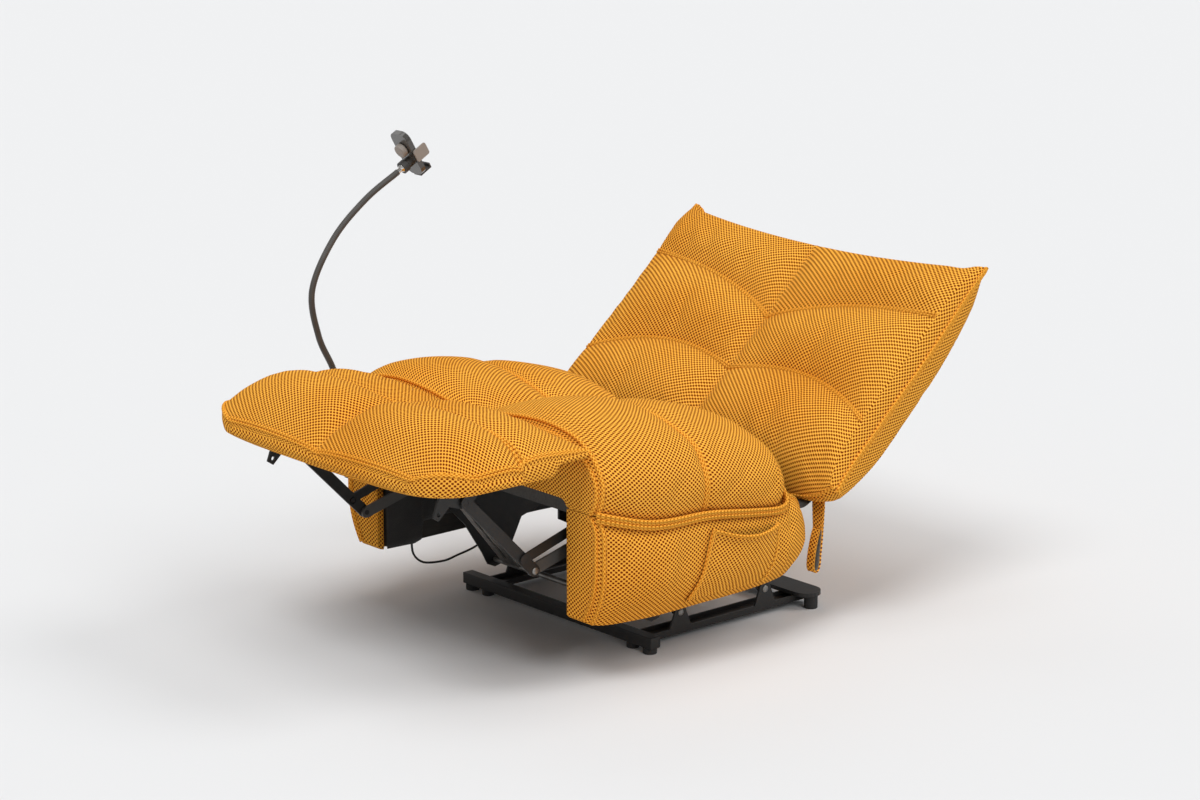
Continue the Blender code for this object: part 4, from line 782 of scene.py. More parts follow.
def stitch_tree():
    """Thread stitches set out along a line."""
    def build(bench, given):
        points = bench.node("GeometryNodeCurveToPoints",
                            {"Curve": line_curve(bench, given), "Length": given["Pitch"]},
                            mode="LENGTH")
        tangent = Wire(bench, points.socket.node.outputs["Tangent"])
        return set_out(bench, points, ball(bench, 5, 4), tangent, given["Thread"],
                       given["Stitch"] * 0.5)
    return geometry_tree("stitch_row", {"Pitch": (0.006, 0.002, 0.03),
                                        "Stitch": (0.004, 0.001, 0.02),
                                        "Thread": (0.0006, 0.0002, 0.003)}, build)


def captured(bench, geometry, name, value):
    """Geometry that carries a value at its points, and the carried value."""
    carrier = bench.node("GeometryNodeCaptureAttribute", {"Geometry": geometry})
    node = carrier.socket.node
    node.capture_items.new("FLOAT", name)
    bench.tree.links.new(value.socket, node.inputs[name])
    return carrier, Wire(bench, node.outputs[name])


def sweep_tree():
    """Round cord along a line, with cloth coordinates along and round it."""
    def build(bench, given):
        curve = line_curve(bench, given, given["Step"])
        length = bench.node("GeometryNodeSplineParameter", output="Length")
        rail, along = captured(bench, curve, "along", length)
        ring = bench.node("GeometryNodeCurvePrimitiveCircle",
                          {"Resolution": 12, "Radius": given["Radius"]})
        profile, around = captured(bench, ring, "around", length)
        share = bench.node("GeometryNodeSplineParameter", output="Factor")
        tube = bench.node("GeometryNodeCurveToMesh",
                          {"Curve": rail, "Profile Curve": profile, "Fill Caps": True,
                           "Scale": 1 - share * given["Taper"]})
        place = bench.node("ShaderNodeCombineXYZ", {"X": along, "Y": around})
        tube = bench.node("GeometryNodeStoreNamedAttribute",
                          {"Geometry": tube, "Name": "cloth", "Value": place},
                          data_type="FLOAT2", domain="CORNER")
        return smooth_shaded(bench, tube)
    return geometry_tree("round_cord", {"Radius": (0.004, 0.0005, 0.03),
                                        "Taper": (0.0, 0.0, 0.9),
                                        "Step": (0.004, 0.001, 0.05)}, build)


def rib_tree():
    """Flexible metal neck: a tube whose radius swells at every rib."""
    def build(bench, given):
        curve = line_curve(bench, given, given["Pitch"] * 0.25)
        length = bench.node("GeometryNodeSplineParameter", output="Length")
        wave = (length / given["Pitch"] * TURN).cosine()
        radius = given["Radius"] - given["Rib"] * (0.5 - wave * 0.5)
        curve = bench.node("GeometryNodeSetCurveRadius", {"Curve": curve, "Radius": radius})
        ring = bench.node("GeometryNodeCurvePrimitiveCircle",
                          {"Resolution": 14, "Radius": 1.0})
        tube = bench.node("GeometryNodeCurveToMesh",
                          {"Curve": curve, "Profile Curve": ring, "Fill Caps": True,
                           "Scale": radius})
        return smooth_shaded(bench, tube)
    return geometry_tree("ribbed_neck", {"Radius": (0.0065, 0.002, 0.02),
                                         "Rib": (0.0008, 0.0, 0.004),
                                         "Pitch": (0.0034, 0.001, 0.02)}, build)


def rivet_tree():
    """Low domed heads on single points, each facing its own way."""
    def build(bench, given):
        facing = bench.node("GeometryNodeInputNamedAttribute", {"Name": "facing"},
                            data_type="FLOAT_VECTOR")
        points = bench.node("GeometryNodeMeshToPoints", {"Mesh": given["Line"]})
        return set_out(bench, points, smooth_shaded(bench, ball(bench, 14, 8)), facing,
                       given["Radius"], given["Height"])
    return geometry_tree("rivet_heads", {"Radius": (0.006, 0.001, 0.02),
                                         "Height": (0.002, 0.0005, 0.02)}, build)


def laid_on(host, lines, lift):
    """Move planned lines onto a finished cloth surface."""
    surface = BVHTree.FromObject(host, bpy.context.evaluated_depsgraph_get())
    result = []
    for line in lines:
        hits = [surface.find_nearest(point)[:2] for point in line]
        result.append([place + normal * lift for place, normal in hits if place is not None])
    return result


def stitch(name, host, lines, body):
    """Rows of thread stitches laid on a sewn piece."""
    thread = grow(name, TREES["stitch"], laid_on(host, lines, THREAD_LIFT), "thread",
                  Pitch=sizes().stitch_pitch, Stitch=sizes().stitch_length,
                  Thread=sizes().thread_radius)
    fitted(thread, body)


def roll_seams(name, host, lines, body, radius):
    """Rolled seams: cords of cloth half sunk in a sewn piece."""
    rolled = grow(name, TREES["cord"], laid_on(host, lines, radius * 0.1), "piping mesh",
                  Radius=radius, Step=0.004)
    fitted(rolled, body)

# Seat

def side_x(y):
    """Fullest half-width of the seat and side pads."""
    return eased(SIDE_LINE, y)


def welt_z(y):
    """Seam between the seat and the side pads."""
    return eased(WELT_LINE, y)


def seam_draw(y):
    """How far the sewn cross channel pulls the seat in, with the fold of its seam."""
    away = y - SEAT_SEAM_Y
    return SEAT_SEAM_DEPTH * hump(away, 0.011) - 0.0024 * hump(away, 0.0036)


def seat_half_profile(y):
    """Upper half of a seat section, from the middle channel out and down to the welt."""
    ease = eased(SEAT_EASE_LINE, y)
    crest = eased(CREST_LINE, y) - ease - seam_draw(y)
    channel = eased(CHANNEL_LINE, y) - ease - 0.4 * seam_draw(y)
    full = side_x(y) - 0.8 * ease - 0.6 * seam_draw(y)
    welt = welt_z(y) + GAP
    rise = crest - channel
    fall = crest - welt
    return ((0.0, channel), (0.035, channel + 0.12 * rise), (0.085, channel + 0.52 * rise),
            (0.150, channel + 0.90 * rise), (CREST_X, crest), (0.290, crest - 0.07 * fall),
            (full - 0.040, crest - 0.22 * fall), (full - 0.012, crest - 0.42 * fall),
            (full, crest - 0.62 * fall), (full - 0.003, crest - 0.82 * fall),
            (full - 0.010, welt + 0.010), (full - WELT_TUCK, welt))


def even_marks(knots, step):
    """Curve places, counted in knots, that are evenly spaced but closer at the seams."""
    fine, lengths = measured(knots)
    marks = [k / FINE for k in range(len(fine))]
    return [float(np.interp(s * lengths[-1], lengths, marks))
            for s in sewn_steps(lengths[-1], step)]


def seat_top(mark, y):
    """A point of the seat's top; mark counts the knots of its section from the middle."""
    side = -1 if mark < 0 else 1
    x, z = through(seat_half_profile(y), abs(mark))
    z += 0.0016 * hump(x, 0.0035) - 0.0022 * hump(x, 0.010)
    z += fold(y - BODY_FRONT_Y - 0.007)
    return drawn(y, z, side * x)


def inner_x(y):
    """Inner face of a side pad; at the front the pad also covers its board's end."""
    return LINING_IN + GAP if y < BODY_FRONT_Y + FACE_DEPTH else PAD_IN


def seat_under(mark, y):
    """Underside of the seat: on the rails, and on the side pads outside them."""
    x = abs(seat_top(mark, y).x)
    limit = abs(seat_top(11.0, y).x)
    z = SEAT_BED_Z + GAP if x < inner_x(y) else welt_z(y) + GAP
    return drawn(y, z, math.copysign(min(x, limit), mark))


def seat_rows():
    """Rows of the seat, closer together at its front, its cross seam and its rear."""
    front = [-0.285, -0.2835, -0.281, -0.2775, -0.273, -0.268]
    middle = [-0.262 + 0.217 * s for s in sewn_steps(0.217, 0.011)]
    rear = [SEAT_SEAM_Y + 0.193 * s for s in sewn_steps(0.193, 0.011)[1:]]
    return front + middle + rear + [0.153, 0.158, 0.164, 0.168, 0.1705, SEAT_REAR_Y]


def make_seat():
    half = even_marks(seat_half_profile(-0.10), 0.010)
    marks = mirrored(half)
    ys = seat_rows()
    seam = min(range(len(ys)), key=lambda k: abs(ys[k] - SEAT_SEAM_Y))
    walls = (0.0, 0.05, 0.12, 0.25, 0.4, 0.55, 0.7, 0.85, 1.0)
    panels = []
    for side in SIDES.values():
        top, under = ([[place(side * (m or 1e-9), y) for y in ys] for m in half]
                      for place in (seat_top, seat_under))
        panels += [(top, 0, (len(half) - 1, seam)), (under, 0)]
        panels += [end_wall(top, under, end, walls) for end in (0, -1)]
    seat = sewn("seat_upholstery", panels, ["spacer mesh"])

    def free(p):
        y = p.y + MID_Y
        off_seam = clip(abs(y - SEAT_SEAM_Y) / 0.030)
        off_middle = clip(abs(p.x) / 0.040)
        off_welt = clip((p.z - welt_z(y) - 0.004) / 0.035)
        off_front = clip((y - BODY_FRONT_Y - 0.004) / 0.03)
        off_bed = p.z > SEAT_BED_Z + 0.006 or abs(p.x) > PAD_IN + 0.02
        return (off_seam * off_middle * off_welt * off_front * off_bed) ** 0.7

    upholster(seat, "seat", "seat_cushion", free, cap=0.012)
    lines = []
    for offset in (-0.0048, 0.0048):
        lines.append([seat_top(m, SEAT_SEAM_Y + offset) for m in marks[2:-2]])
        lines.append([seat_top(math.copysign(0.12, offset), y) for y in ys[6:-4]])
    lines.append([seat_top(m, -0.2745) for m in marks[1:-1]])
    front = [seat_top(m, BODY_FRONT_Y) for m in marks[2:-2]]
    lines.append([drawn(BODY_FRONT_Y - 0.0002, p.z - 0.006, p.x * 0.985) for p in front])
    stitch("seat_stitching", seat, lines, "seat")

    def rolls(places):
        return [[seat_top(m, y) for m in marks[1:-1]] for y in places]

    roll_seams("seat_seams", seat, rolls([SEAT_SEAM_Y + lip for lip in SEAM_LIPS]), "seat",
               radius=0.0028)
    roll_seams("seat_front_seams", seat, rolls(FRONT_FOLDS), "seat", radius=0.0038)


# Side pads, piping and pocket

def pad_top(y):
    """Under the welt, and behind the seat down the rounded rear corner."""
    if y <= SEAT_REAR_Y + 0.001:
        return welt_z(y) - GAP
    return eased(PAD_REAR_TOP_LINE, y)


def pad_bottom(y):
    return eased(PAD_BOTTOM_LINE, y)


def pad_profile(share):
    """Draw-in of the side pad's outer face, from its top (0) to its bottom (1)."""
    top = WELT_TUCK * (1 - min(share / 0.16, 1)) ** 1.6
    low = 0.036 * max(0, (share - 0.45) / 0.55) ** 2.4
    return top + low


def pad_x(y, z):
    """Outer face of a side pad at one height."""
    return side_x(y) - pad_profile(clip((pad_top(y) - z) / (pad_top(y) - pad_bottom(y))))


def pad_place(side, y, share):
    """A point of the side pad's outer face."""
    ease = eased(PAD_EASE_LINE, y)
    top = pad_top(y) - (0.0 if y <= SEAT_REAR_Y else ease)
    bottom = pad_bottom(y) + 0.5 * ease
    ridge = 0.0032 * hump(y - BODY_FRONT_Y - 0.006, FOLD_WIDTH)
    x = max(side_x(y) - pad_profile(share) - ease + ridge, PAD_IN + 0.004)
    return drawn(y, top + (bottom - top) * share, side * x)


def make_side_pads():
    ys = [-0.285, -0.2835, -0.281, -0.279, -0.2765, -0.273, -0.268, -0.262]
    ys += [-0.262 + 0.434 * k / 44 for k in range(1, 45)]
    ys += [0.174, 0.180, 0.188, 0.197, 0.206, 0.215, 0.224, 0.232, 0.240, 0.246, 0.252,
           0.2565, 0.2595, 0.2612, PAD_REAR_Y]
    shares = sewn_steps(0.20)
    walls = [k / 8 for k in range(9)]
    for name, side in SIDES.items():
        outer = [[pad_place(side, y, s) for y in ys] for s in shares]
        inner = [[drawn(y, p.z, side * inner_x(y)) for y, p in zip(ys, row)] for row in outer]
        panels = [(outer, 0, (len(shares) - 1, 0)), (inner, 0)]
        for end in (0, -1):
            panels.append((lerp_rows(outer[end], inner[end], walls), 0))
            panels.append(end_wall(outer, inner, end, walls))
        pad = sewn("side_upholstery_" + name, panels, ["spacer mesh"])

        def free(p):
            y = p.y + MID_Y
            out = clip((abs(p.x) - PAD_IN - 0.012) / 0.02)
            front = clip((y - BODY_FRONT_Y - 0.006) / 0.04)
            low = clip((p.z - pad_bottom(y) - 0.006) / 0.03)
            high = clip((pad_top(y) - 0.004 - p.z) / 0.03)
            sewn_on = 1 if side < 0 else off_pocket(y, p.z)
            return (out * front * low * high * sewn_on) ** 0.8

        upholster(pad, "seat", "side_pad_" + name, free, cap=0.007, share=0.8)
        front = [pad_place(side, BODY_FRONT_Y, s) for s in shares[1:]]
        lines = [[pad_place(side, -0.2735, s) for s in shares],
                 [drawn(BODY_FRONT_Y - 0.0002, p.z, p.x - side * 0.005) for p in front]]
        stitch("side_stitching_" + name, pad, lines, "seat")
        rolls = [[pad_place(side, y, s) for s in shares[2:-1]] for y in FRONT_FOLDS]
        rolls.append([pad_place(side, y, 0.012) for y in ys if y > SEAT_REAR_Y + 0.004])
        roll_seams("side_seams_" + name, pad, rolls, "seat", radius=0.0038)


def off_pocket(y, z):
    """0 under the pocket, where the pad is held flat, and 1 away from it."""
    if z > POCKET_TOP_Z:
        return 1
    return clip(max(POCKET_SPAN[0] - y, y - POCKET_SPAN[1]) / 0.03)


def welt_line(side, above, radius):
    """One cord of the double welt between the seat and the side pad, thinner to the rear."""
    points = []
    for k in range(WELT_STEPS + 1):
        y = WELT_FROM_Y + (WELT_TO_Y - WELT_FROM_Y) * k / WELT_STEPS
        rise = above * 0.96 * radius * (1 - PIPING_TAPER * k / WELT_STEPS)
        x = side_x(y) - 0.0030 - 0.8 * eased(PAD_EASE_LINE, y)
        points.append(drawn(y, welt_z(y) + rise, side * x))
    last = points[-1]
    for step, rise, inward in ((0.006, 0.004, 0.003), (0.0095, 0.012, 0.008),
                               (0.0100, 0.022, 0.016), (0.0100, 0.034, 0.026)):
        points.append(last + Vector((-side * inward, step, rise)))
    return points


def make_piping():
    radius = sizes().piping_radius
    for name, side in SIDES.items():
        cords = [welt_line(side, above, radius) for above in (1, -1)]
        piping = grow("double_piping_" + name, TREES["cord"], cords, "piping mesh",
                      Radius=radius, Taper=PIPING_TAPER, Step=0.005)
        fitted(piping, "seat")


def pocket_place(a, b, lift):
    """A point of the pocket: a across it, b up it, lifted off the side pad."""
    left, right = ([eased([(p[0], p[i]) for p in line], b) for i in (1, 2)]
                   for line in (POCKET_LEFT, POCKET_RIGHT))
    y = left[0] + (right[0] - left[0]) * a
    z = left[1] + (right[1] - left[1]) * a - 0.014 * b * arch(a)
    gape = 0.016 * arch(a) ** 0.6 * b ** 1.2
    return drawn(y, z, pad_x(y, z) + 0.0011 + gape + lift)


def make_pocket():
    across = sewn_steps(0.17, 0.009, (0.003, 0.007, 0.012))
    up = [0.0, 0.03, 0.08] + [0.08 + 0.72 * k / 10 for k in range(1, 11)]
    up += [0.84, 0.88, 0.91, 0.94, 0.965, 0.985, 1.0]

    def lift(a, b):
        edge = 1.6 * hump(min(a, 1 - a) * 0.17 - 0.004, 0.004) + hump(b * 0.13, 0.005)
        hem = 0.0026 * clip((b - 0.90) / 0.02)
        crease = 0.0010 * math.sin(26 * a + 5 * b) * arch(a) * b
        return 0.003 + 0.0018 * min(edge, 1.6) + hem + crease

    outer = [[pocket_place(a, b, lift(a, b)) for a in across] for b in up]
    # painted shade: the pocket's inner face is black cloth, for the dark inside of the pocket
    # where the pad's own fabric lies in shade
    inner = [[pocket_place(a, b, 0.0004) for a in across] for b in up]
    panels = [(outer, 0), (inner, 1), (flank(outer, inner, 0, (0, 1)), 0),
              (flank(outer, inner, -1, (0, 1)), 0),
              (lerp_rows(outer[0], inner[0], (0, 1)), 0),
              (lerp_rows(outer[-1], inner[-1], (0, 0.5, 1)), 0)]
    pocket = sewn("side_pocket_cloth", panels, ["spacer mesh", "black cloth"])
    round_off(pocket)
    fitted(pocket, "seat", "side_pocket")
    lines = [[pocket_place(a, b, 0.006) for b in up] for a in (0.035, 0.965)]
    lines.append([pocket_place(a, 0.885, 0.007) for a in across])
    stitch("pocket_stitching", pocket, lines, "seat")
    rolls = [[pocket_place(a, b, 0.008) for b in up[1:]] for a in (0.004, 0.996)]
    rolls.append([pocket_place(a, 0.985, lift(a, 0.985)) for a in across])
    roll_seams("pocket_seams", pocket, rolls, "seat", radius=0.0034)


# Footrest

def foot_crown(x, y):
    """Top of the footrest cushion: two bays long and two wide."""
    across = clip(abs(x) / FOOT_HALF)
    columns = arch(across * 0.98 + 0.01) ** 0.55
    edge = (1 - across ** 6) ** 0.5
    if y < FOOT_SEAM_Y:
        share = clip((y - FOOT_FRONT_Y) / (FOOT_SEAM_Y - FOOT_FRONT_Y))
        low, rim = 0.432, 0.428
        base = rim + (FOOT_TUFT_Z - rim) * math.sin(math.pi / 2 * share) ** 0.6
        puff = 0.14 + arch(share) ** 0.6
    else:
        share = clip((y - FOOT_SEAM_Y) / (FOOT_REAR_Y - FOOT_SEAM_Y))
        low, rim = FOOT_REAR_Z + 0.008, FOOT_REAR_Z + 0.018
        base = FOOT_TUFT_Z + (rim - FOOT_TUFT_Z) * share ** 1.3
        puff = 0.14 * (1 - 0.6 * share) + arch(share) ** 0.8 * 0.45
    return low + (base + FOOT_PUFF * columns * puff - low) * edge


def foot_v(y):
    """Share of the footrest's length, from its rear edge."""
    return (y - FOOT_REAR_Y) / (FOOT_FRONT_Y - FOOT_REAR_Y)


def foot_plan(u, v):
    """Plan of the footrest: nearly square, with rounded front corners."""
    y = FOOT_REAR_Y + (FOOT_FRONT_Y - FOOT_REAR_Y) * v
    half = FOOT_HALF
    into = FOOT_FRONT_Y + FOOT_CORNER - y
    if into > 0:
        half -= FOOT_CORNER - math.sqrt(max(FOOT_CORNER ** 2 - into ** 2, 0))
    return half * u, y


def foot_top(u, v):
    """A point of the footrest's top, drawn in at its seams and raised at its rim."""
    x, y = foot_plan(u, v)
    z = max(foot_crown(x, y), 0.430)
    z += 0.0018 * hump(x, 0.0035) - 0.0030 * hump(x, 0.012)
    z += 0.0024 * hump(y - FOOT_SEAM_Y, 0.0035) - 0.0060 * hump(y - FOOT_SEAM_Y, 0.014)
    z += fold((1 - abs(u)) * FOOT_HALF - 0.006)
    z += fold((1 - v) * (FOOT_REAR_Y - FOOT_FRONT_Y) - 0.006)
    return drawn(y, z, x)


def foot_under(u, v):
    """A point of its underside, which sags under the board."""
    x, y = foot_plan(u, v)
    inner = max(1 - abs(u) ** 8, 0) * arch(clip(v)) ** 0.35
    rim = FOOT_EDGE_Z if v < 0.2 else 0.416
    low = FOOT_BOARD_Z - 0.009 * (1 - abs(u) ** 2)
    sag = low if v > 0.25 else low + (FOOT_EDGE_Z - low) * (1 - v / 0.25) ** 1.5
    return drawn(y + 0.002 * (2 * v - 1), rim + (sag - rim) * inner, x * 0.992)


def make_footrest():
    us = mirrored(sewn_steps(FOOT_HALF))
    seam = foot_v(FOOT_SEAM_Y)
    vs = [seam * t for t in sewn_steps(0.150)]
    vs += [seam + (1 - seam) * t for t in sewn_steps(0.192)[1:]]
    top, under = ([[place(u, v) for u in us] for v in vs] for place in (foot_top, foot_under))
    middle = drawn(-0.46, 0).y

    def wall(first, last):
        """Side wall between two edges, swelling a little outward."""
        rows = lerp_rows(first, last, (0.0, 0.2, 0.4, 0.6, 0.8, 1.0))
        for k, row in enumerate(rows):
            for p, a in zip(row, first):
                p += Vector((a.x, a.y - middle, 0)).normalized() * (0.003 * arch(k / 5))
        return rows, 0

    def under_finish(j, i):
        return 1 if 0.12 < vs[j] < 0.90 and abs(us[i]) < 0.86 else 0

    panels = [(top, 0), (under, under_finish), *(wall(column(top, end), column(under, end))
                                                 for end in (0, -1)),
              *(wall(top[end], under[end]) for end in (0, -1))]
    cushion = sewn("footrest_upholstery", panels, ["spacer mesh", "black cloth"])

    def free(p):
        y = p.y + MID_Y
        if p.z < 0.432:
            return 0
        off_seam = clip(abs(y - FOOT_SEAM_Y) / 0.035) * clip(abs(p.x) / 0.045)
        off_side = clip((FOOT_HALF - abs(p.x)) / 0.05)
        off_ends = clip((y - FOOT_FRONT_Y) / 0.05) * clip((FOOT_REAR_Y - y) / 0.05)
        return (off_seam * (off_side * off_ends)) ** 0.7

    upholster(cushion, "footrest", "footrest_cushion", free, cap=0.007)
    lines = []
    for offset in STITCH_LINES:
        v = foot_v(FOOT_SEAM_Y + offset)
        lines.append([foot_top(u, v) for u in us[2:-2]])
        lines.append([foot_top(offset / FOOT_HALF, v) for v in vs[2:-2]])
    rim = [foot_top(0.985, v) for v in vs[2:-1]] + [foot_top(u, 0.985) for u in us[::-1]]
    rim += [foot_top(-0.985, v) for v in vs[-2:2:-1]]
    lines.append(rim)
    stitch("footrest_stitching", cushion, lines, "footrest")
    rolls = []
    for lip in SEAM_LIPS:
        rolls.append([foot_top(u, foot_v(FOOT_SEAM_Y + lip)) for u in us[1:-1]])
        edge = 0.990 + lip
        rim = [foot_top(edge, v) for v in vs[1:-2]] + [foot_top(u, edge) for u in us[-2:1:-1]]
        rolls.append(rim + [foot_top(-edge, v) for v in vs[-3:0:-1]])
    roll_seams("footrest_seams", cushion, rolls, "footrest", radius=0.0027)


# Back

def back_top(x):
    """Top edge of the back: highest at the two ears."""
    return BACK_LENGTH - BACK_DIP * (1 - (abs(x) / BACK_HALF) ** 2.2)


def back_rows(x):
    """Heights of the two sewn cross seams, lowest in the middle."""
    share = abs(x) / BACK_HALF
    lower = 0.206 + 0.034 * arch(share) - 0.038 * share ** 2
    upper = 0.339 + 0.098 * share ** 0.8 + 0.014 * arch(share) - 0.008 * share ** 2
    return lower, upper


def back_plan(u, v):
    """A place on the back's seam plane, with v 0, 1, 2 and 3 at bottom, seams and top."""
    x = BACK_HALF * u
    marks = (0.0, *back_rows(x), back_top(x))
    row = min(int(v), 2)
    s = marks[row] + (marks[row + 1] - marks[row]) * (v - row)
    if row == 0:
        s += 0.030 * abs(u) ** 10 * (1 - v)
    waist = 1 - 0.020 * arch(clip(s / BACK_LENGTH))
    s += 0.013 * hump((1 - abs(u)) * BACK_HALF - 0.004, 0.017) * clip((v - 2.2) / 0.8) ** 3
    return x * waist, s


def ear(u, v):
    """How much a place belongs to one of the two pointed top corners."""
    return (clip((abs(u) - 0.84) / 0.16) * clip((v - 2.55) / 0.45)) ** 1.5


def back_face(u, v):
    """Front of the back cushion: three rows of two pillows between sewn lines."""
    x, s = back_plan(u, v)
    row = min(int(v), 2)
    columns = arch(min(abs(u), 1)) ** 0.5
    rows = arch(v - row) ** 0.5 if 0 < v < 3 else 0
    full = (1.0, 0.95, 0.75)[row]
    height = eased(BACK_SEAM_LINE, s) + BACK_PUFF * full * columns * rows
    lower, upper = back_rows(BACK_HALF * u)
    for away in (s - lower, s - upper, x):
        height += 0.0026 * hump(away, 0.0036) - 0.0016 * hump(away, 0.011)
    inset = 1 - BACK_SIDE_ROUND / BACK_HALF * abs(u) ** 8
    return x * inset, s, height - BACK_EAR_PINCH * ear(u, v)


def back_rear(u, v):
    """Rear of the back cushion: one long lens, rounded at its sides."""
    x, s = back_plan(u, v)
    lens = 0.010 * (1 - abs(u) ** 2) * arch(min(v / 3, 1))
    inset = 1 - 1.6 * BACK_SIDE_ROUND / BACK_HALF * abs(u) ** 8
    height = eased(BACK_REAR_LINE, s) - lens + 0.012 * abs(u) ** 8
    return x * inset, s, height + BACK_EAR_PINCH * ear(u, v)


def back_edge(u, v, w):
    """Boxed edge between the front (w 0) and the rear (w 1)."""
    x, s = back_plan(u, v)
    front, rear = Vector(back_face(u, v)), Vector(back_rear(u, v))
    out = BACK_SIDE_ROUND if v >= 3 else 0
    middle = Vector((x, s + out, 0.55 * front.z + 0.45 * rear.z))
    curve = (front * ((1 - w) * (1 - 2 * w)) + middle * (4 * w * (1 - w))
             + rear * (w * (2 * w - 1)))
    outward = Vector((math.copysign(1, u) if abs(u) > 0.999 else 0,
                      1 if v >= 3 else (-1 if v <= 0 else 0), 0))
    ridge = 0.0030 * hump((w - SIDE_SEAM) * 0.11, 0.0060)
    return curve + outward * ridge


def on_back(x, s, n):
    """A place on the tilted back in the chair's frame."""
    y, z = s - HINGE_S, n - HINGE_N
    c, t = math.cos(BACK_ANGLE), math.sin(BACK_ANGLE)
    return drawn(BACK_HINGE[0] + y * c - z * t, BACK_HINGE[1] + y * t + z * c, x)


def make_back():
    us = mirrored(sewn_steps(BACK_HALF, BACK_STEP))
    vs = sewn_steps(0.206, BACK_STEP) + [1 + t for t in sewn_steps(0.150, BACK_STEP)[1:]]
    vs += [2 + t for t in sewn_steps(0.130, BACK_STEP)[1:]]
    ws = (0.0, 0.06, 0.13, 0.21, 0.29, 0.35, 0.40, 0.45, 0.50, 0.55, 0.62, 0.72, 0.85, 1.0)
    face, rear = ([[on_back(*place(u, v)) for u in us] for v in vs]
                  for place in (back_face, back_rear))
    sides = [[(side, v) for v in vs] for side in (-1, 1)]
    foot, head = ([(u, v) for u in us] for v in (0, 3))

    def edge(places, marks):
        return [[on_back(*back_edge(u, v, w)) for u, v in places] for w in marks]

    middle = len(us) // 2
    low, high = vs.index(1.0), vs.index(2.0)
    panels = [(rear, 0), *((edge(places, ws), 0) for places in (*sides, foot, head))]
    for first, last, pin in ((0, low, low), (low, high, 0), (high, len(vs) - 1, 0)):
        for left, right, pinned in ((0, middle, middle), (middle, len(us) - 1, 0)):
            panels.append(([row[left:right + 1] for row in face[first:last + 1]], 0,
                           (pin, pinned)))
    cushion = sewn("back_upholstery", panels, ["spacer mesh"])
    c, t = math.cos(BACK_ANGLE), math.sin(BACK_ANGLE)

    def free(p):
        y, z = p.y + MID_Y - BACK_HINGE[0], p.z - BACK_HINGE[1]
        s, n = y * c + z * t + HINGE_S, -y * t + z * c + HINGE_N
        lower, upper = back_rows(p.x)
        near = min(abs(s - lower), abs(s - upper), abs(p.x)) if n > 0.01 else 0.2
        border = min(BACK_HALF - abs(p.x), back_top(p.x) - s, s + 0.004)
        return (clip(near / 0.030) * clip(border / 0.045)) ** 0.7

    upholster(cushion, "back", "back_cushion", free, cap=0.014)

    def beside(row, offset, cut):
        """A line beside one of the two cross seams."""
        places = [back_face(u, row) for u in us[cut:-cut]]
        return [on_back(x, s + offset, n) for x, s, n in places]

    lines = []
    for offset in STITCH_LINES:
        lines += [beside(row, offset, 2) for row in (1, 2)]
        lines.append([on_back(offset, *back_face(0, v)[1:]) for v in vs[2:-2]])
    for places in sides:
        lines += edge(places, (SIDE_SEAM - 0.10, SIDE_SEAM + 0.10))
    lines += edge(foot, (0.16,))
    stitch("back_stitching", cushion, lines, "back")
    rolls = [beside(row, lip, 1) for lip in SEAM_LIPS for row in (1, 2)]
    rolls += edge(head, (0.70,)) + edge(foot, (0.10,))
    roll_seams("back_seams", cushion, rolls, "back", radius=0.0026)
    rolls = [line for places in sides for line in edge(places, (SIDE_SEAM - 0.028,
                                                                SIDE_SEAM + 0.028))]
    roll_seams("back_side_seams", cushion, rolls, "back", radius=0.0036)


# Strap and cloth panels

def make_strap():
    centre = route([(0, y, z) for y, z in STRAP_LINE], 64)
    outer, inner = [], []
    for i, point in enumerate(centre):
        run = centre[min(i + 1, len(centre) - 1)] - centre[max(i - 1, 0)]
        normal = Vector((0, -run.z, run.y)).normalized() * STRAP_THICK / 2
        normal *= min(0.2 + 0.2 * i, 1)
        outer.append(point + normal)
        inner.append(point - normal)
    marks = (0.0, 0.04, 0.10, 0.16, 0.3, 0.5, 0.7, 0.84, 0.90, 0.96, 1.0)
    middle, half = sum(STRAP_X) / 2, (STRAP_X[1] - STRAP_X[0]) / 2

    def band(line):
        rows = []
        for k, p in enumerate(line):
            narrow = half * (1 - 0.42 * min(k / 30, 1))
            rows.append([drawn(p.y, p.z, middle + narrow * (2 * m - 1)) for m in marks])
        return rows

    one, other = band(outer), band(inner)
    join = STRAP_LINE[-1][1]

    def lining(j, i):
        return 1 if inner[j].z < join and 0.05 < marks[i] < 0.95 else 0

    panels = [(one, 0), (other, lining), *((flank(one, other, end, (0, 0.5, 1)), 0)
                                           for end in (0, -1)),
              *((lerp_rows(one[end], other[end], (0, 1)), 0) for end in (0, -1))]
    strap = sewn("pull_strap", panels, ["spacer mesh", "grey cloth"])
    round_off(strap)
    fitted(strap, "strap", "strap_loop")
    lines = [column(rows, k) for rows in (one, other) for k in (2, -3)]
    stitch("strap_stitching", strap, lines, "strap")


def straight(line, at):
    """Read a line of straight lengths at one position."""
    return float(np.interp(at, [p[0] for p in line], [p[1] for p in line]))


def make_linings():
    first, length = LINING_LOW[0][0], 0.496
    ys = sorted({first + length * k / 62 for k in range(63)}
                | {p[0] for p in LINING_LOW + LINING_HIGH})
    for name, side in SIDES.items():
        rows = []
        for y in ys:
            low, high = straight(LINING_LOW, y), straight(LINING_HIGH, y)
            row = []
            for k in range(19):
                z = low + (high - low) * k / 18
                slack = arch(k / 18) * arch((y - first) / length)
                wave = math.sin(31 * y + 9 * z + side) + 0.6 * math.sin(57 * z - 14 * y)
                x = LINING_IN + 0.0007 - 0.0016 * slack * (1 + wave / 2)
                row.append(drawn(y, z, side * x))
            rows.append(row)
        lining, area = layer_of("inner_lining_cloth_" + name, rows, 0.0010)
        fitted(lining, "seat", "inner_lining_" + name)


